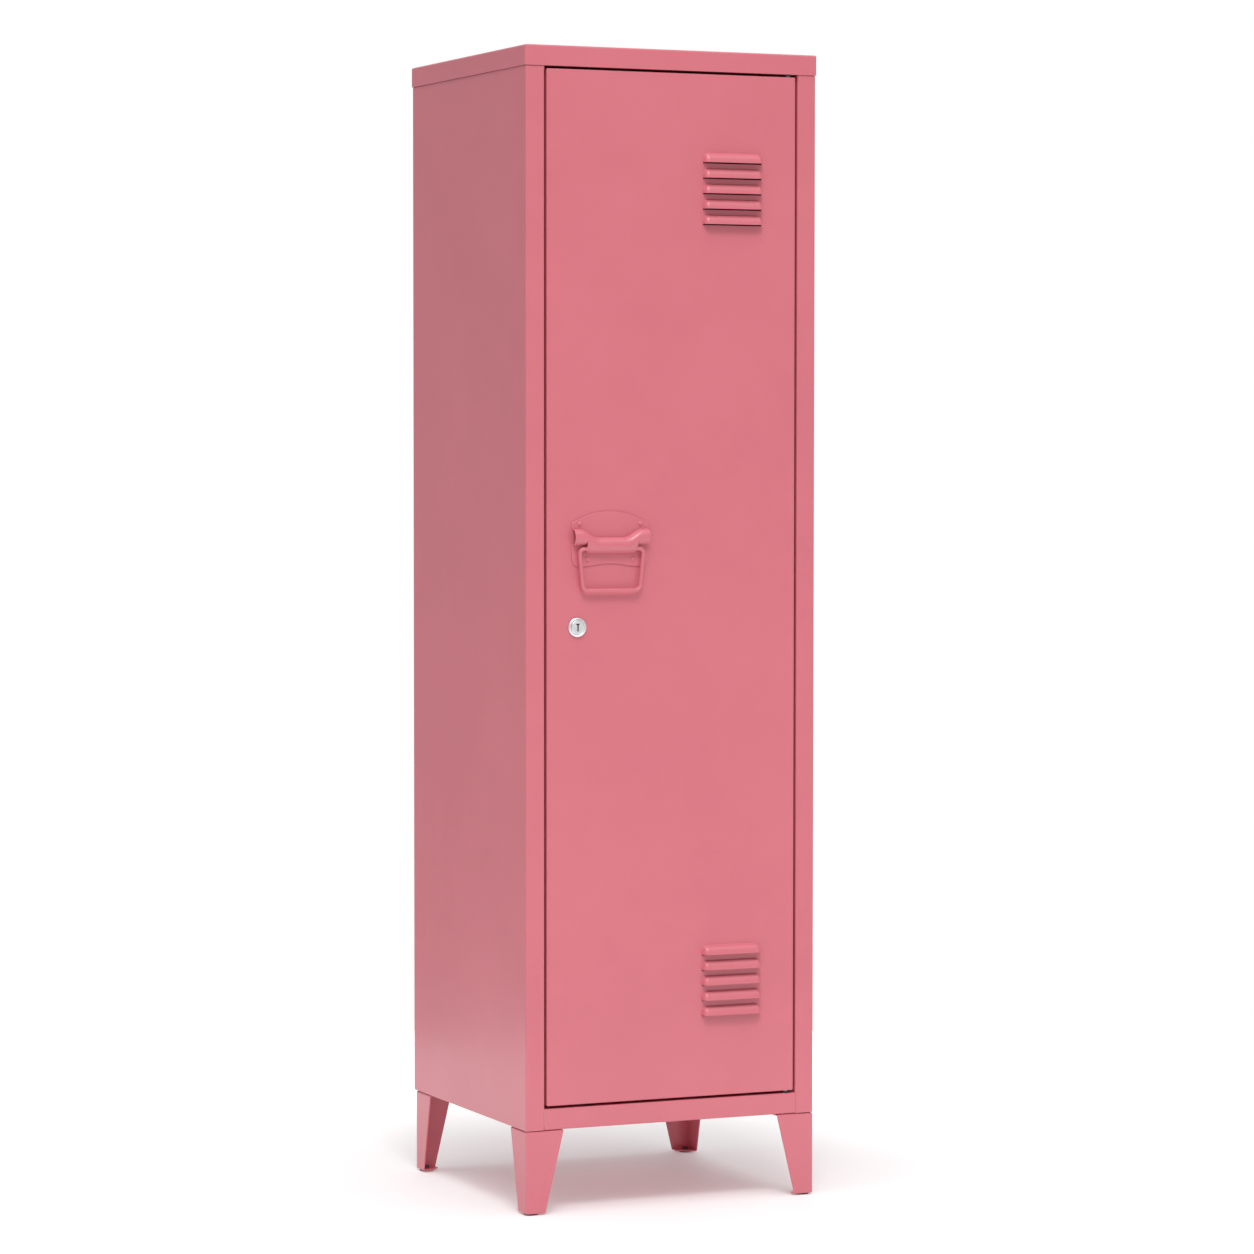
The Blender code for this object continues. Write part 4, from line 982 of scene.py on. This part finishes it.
def make_lock():
    place = (LOCK_X, FRONT, LOCK_Z)
    to_back = rotation(-90, "X")
    low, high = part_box("lock_barrel")
    proud = FRONT - low.y
    bezel = (high.x - low.x) / 2
    length = high.y - FRONT
    recess, bore, tube = 8.6 * MM, 6.3 * MM, 9.2 * MM
    profile = [(recess, -proud + 0.5 * MM), (recess + 0.5 * MM, -proud), (bezel - 2.2 * MM, -proud)]
    profile += [(bezel - 2.2 * MM + 2.2 * MM * math.sin(a), -proud + 1.9 * MM * (1 - math.cos(a)))
                for a in (math.radians(15 * k) for k in range(1, 7))]
    profile += [(bezel, -0.3 * MM), (tube, -0.3 * MM), (tube, length), (bore, length), (bore, 0.4 * MM),
                (recess, 0.4 * MM)]
    ring = turned("lock_bezel", profile, 72, CHROME, place, to_back)
    finish_piece(ring, "door", "bright_chrome", "lock_barrel")
    low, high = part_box("lock_plug")
    proud, radius, length = FRONT - low.y, (high.x - low.x) / 2, high.y - FRONT
    profile = [(0, -proud), (radius - 0.9 * MM, -proud)]
    profile += [(radius - 0.9 * MM + 0.9 * MM * math.sin(a), -proud + 0.7 * MM * (1 - math.cos(a)))
                for a in (math.radians(22.5 * k) for k in range(1, 5))]
    profile += [(radius, 0), (6 * MM, 0), (6 * MM, length), (0, length)]
    plug = turned("lock_rotor", profile, 72, CHROME, place, to_back)
    outline = [(-1 * MM, -4.6 * MM), (1 * MM, -4.6 * MM), (1 * MM, 2.6 * MM), (2.2 * MM, 3.2 * MM),
               (2.2 * MM, 4.4 * MM), (-2.2 * MM, 4.4 * MM), (-2.2 * MM, 3.2 * MM), (-1 * MM, 2.6 * MM)]
    keyway = [(LOCK_X + x, LOCK_Z + z) for x, z in outline]
    carve(plug, extruded("keyway_tool", keyway, (FRONT - 6 * MM, FRONT + 6 * MM), CHROME))
    plug.data.shade_smooth()
    plug.data.set_sharp_from_angle(angle=SHARP)
    for face in plug.data.polygons:
        face.use_smooth = abs(face.normal.y) < 0.99
    finish_piece(plug, "lock", "bright_chrome", "lock_plug")
    # Black solid filling the keyway behind the plug face: painted shade that stands in for the shade
    # inside the slot, not the lock's own wafers
    keyway_shade = extruded("keyway_shade_fill", keyway, (FRONT - 0.4 * MM, FRONT + 6 * MM), NYLON)
    finish_piece(keyway_shade, "lock", "black_nylon")


# ---------------------------------------------------------------- kept solids, stage and camera

def dress_kept_nodes():
    """The frame's own solids that stay get their finish from the record's slots."""
    slot_of = {part["node"]: part["material_slot"] for part in frame["record"]["subparts"]}
    for name, node in frame["nodes"].items():
        node.data.materials.clear()
        node.data.materials.append(SLOTS[slot_of[name]])


def make_floor():
    bm = bmesh.new()
    bmesh.ops.create_circle(bm, cap_ends=True, segments=96, radius=1.4)
    floor = make_piece("studio_floor", bm, studio_floor("studio_floor"))


def make_light(name, place, target, size, power):
    light = bpy.data.lights.new(name, "AREA")
    light.shape = "RECTANGLE"
    light.size, light.size_y = size
    light.energy = power
    lamp = bpy.data.objects.new(name, light)
    lamp.location = place
    lamp.rotation_euler = (Vector(target) - Vector(place)).to_track_quat("-Z", "Y").to_euler()
    bpy.context.scene.collection.objects.link(lamp)


# World radiance: around the cabinet, on the ground in front of it, overhead and behind it
WALL_GREY = (0.38, 0.38, 0.385, 1)
GROUND_GLOW = (0.95, 0.95, 0.95, 1)
OVERHEAD_GLOW = (2.2, 2.2, 2.2, 1)
BACKDROP_WHITE = (1, 1, 1, 1)

SOFTBOX_PLACE = (-1.25, -3.5, 5.67)
SOFTBOX_TARGET = (0, 0, 0.8)
SOFTBOX_SIZE = (1.5, 1.5)
SOFTBOX_POWER = 128


def make_studio():
    """White wall behind the cabinet, grey walls around it, bright overhead, and a high softbox."""
    make_floor()
    world = bpy.data.worlds.new("studio")
    world.use_nodes = True
    graph = Graph(world.node_tree)
    sky = world.node_tree.nodes["Background"]
    way = graph.add("ShaderNodeSeparateXYZ", None, {0: graph.add("ShaderNodeTexCoord").outputs[0]})
    way = [Value(graph, output) for output in way.outputs]
    above = way[0] * -0.15 + way[1] * -0.3 + way[2] * 0.94
    behind = way[0] * 0.406 + way[1] * 0.914
    ground = band(graph, way[1], 0.3, -0.3) * band(graph, way[2], 0.05, -0.25)
    walls = graph.mix(ground, WALL_GREY, GROUND_GLOW)
    walls = graph.mix(band(graph, above, 0.65, 1), walls, OVERHEAD_GLOW)
    graph.feed(sky.inputs["Color"], graph.mix(band(graph, behind, 0.75, 0.97), walls, BACKDROP_WHITE))
    bpy.context.scene.world = world
    make_light("high_softbox", SOFTBOX_PLACE, SOFTBOX_TARGET, SOFTBOX_SIZE, SOFTBOX_POWER)
    bpy.context.scene.view_settings.view_transform = "Standard"


def make_camera():
    """Long lens at chest height, to the left of the cabinet and turned towards it."""
    heading, tilt, roll = math.radians(-23.954), math.radians(-2.688), math.radians(0.042)
    data = bpy.data.cameras.new("camera")
    data.sensor_width = 36
    data.lens = 124.52
    data.shift_x = -0.0037
    data.shift_y = 0.0110
    data.clip_end = 60
    camera = bpy.data.objects.new("camera", data)
    camera.location = (-2.12768, FRONT - 4.67097, 0.91438)
    turn = Matrix.Rotation(heading, 3, "Z") @ Matrix.Rotation(math.pi / 2 + tilt, 3, "X")
    camera.rotation_euler = (turn @ Matrix.Rotation(roll, 3, "Z")).to_euler()
    bpy.context.scene.collection.objects.link(camera)
    bpy.context.scene.camera = camera


dress_kept_nodes()
make_camera()
make_studio()
make_cap()
for hand, side in (("left", -1), ("right", 1)):
    make_side(hand, side)
    for end in ("front", "rear"):
        make_leg(end, hand)
make_base_pan()
make_shelf("hat_shelf")
make_shelf("lower_shelf")
make_coat_rail()
make_leg_screws()
make_weld_marks()
make_door()
make_stiffener()
make_handle_plate()
make_handle_bridge()
make_rivets()
make_bail()
make_lock()
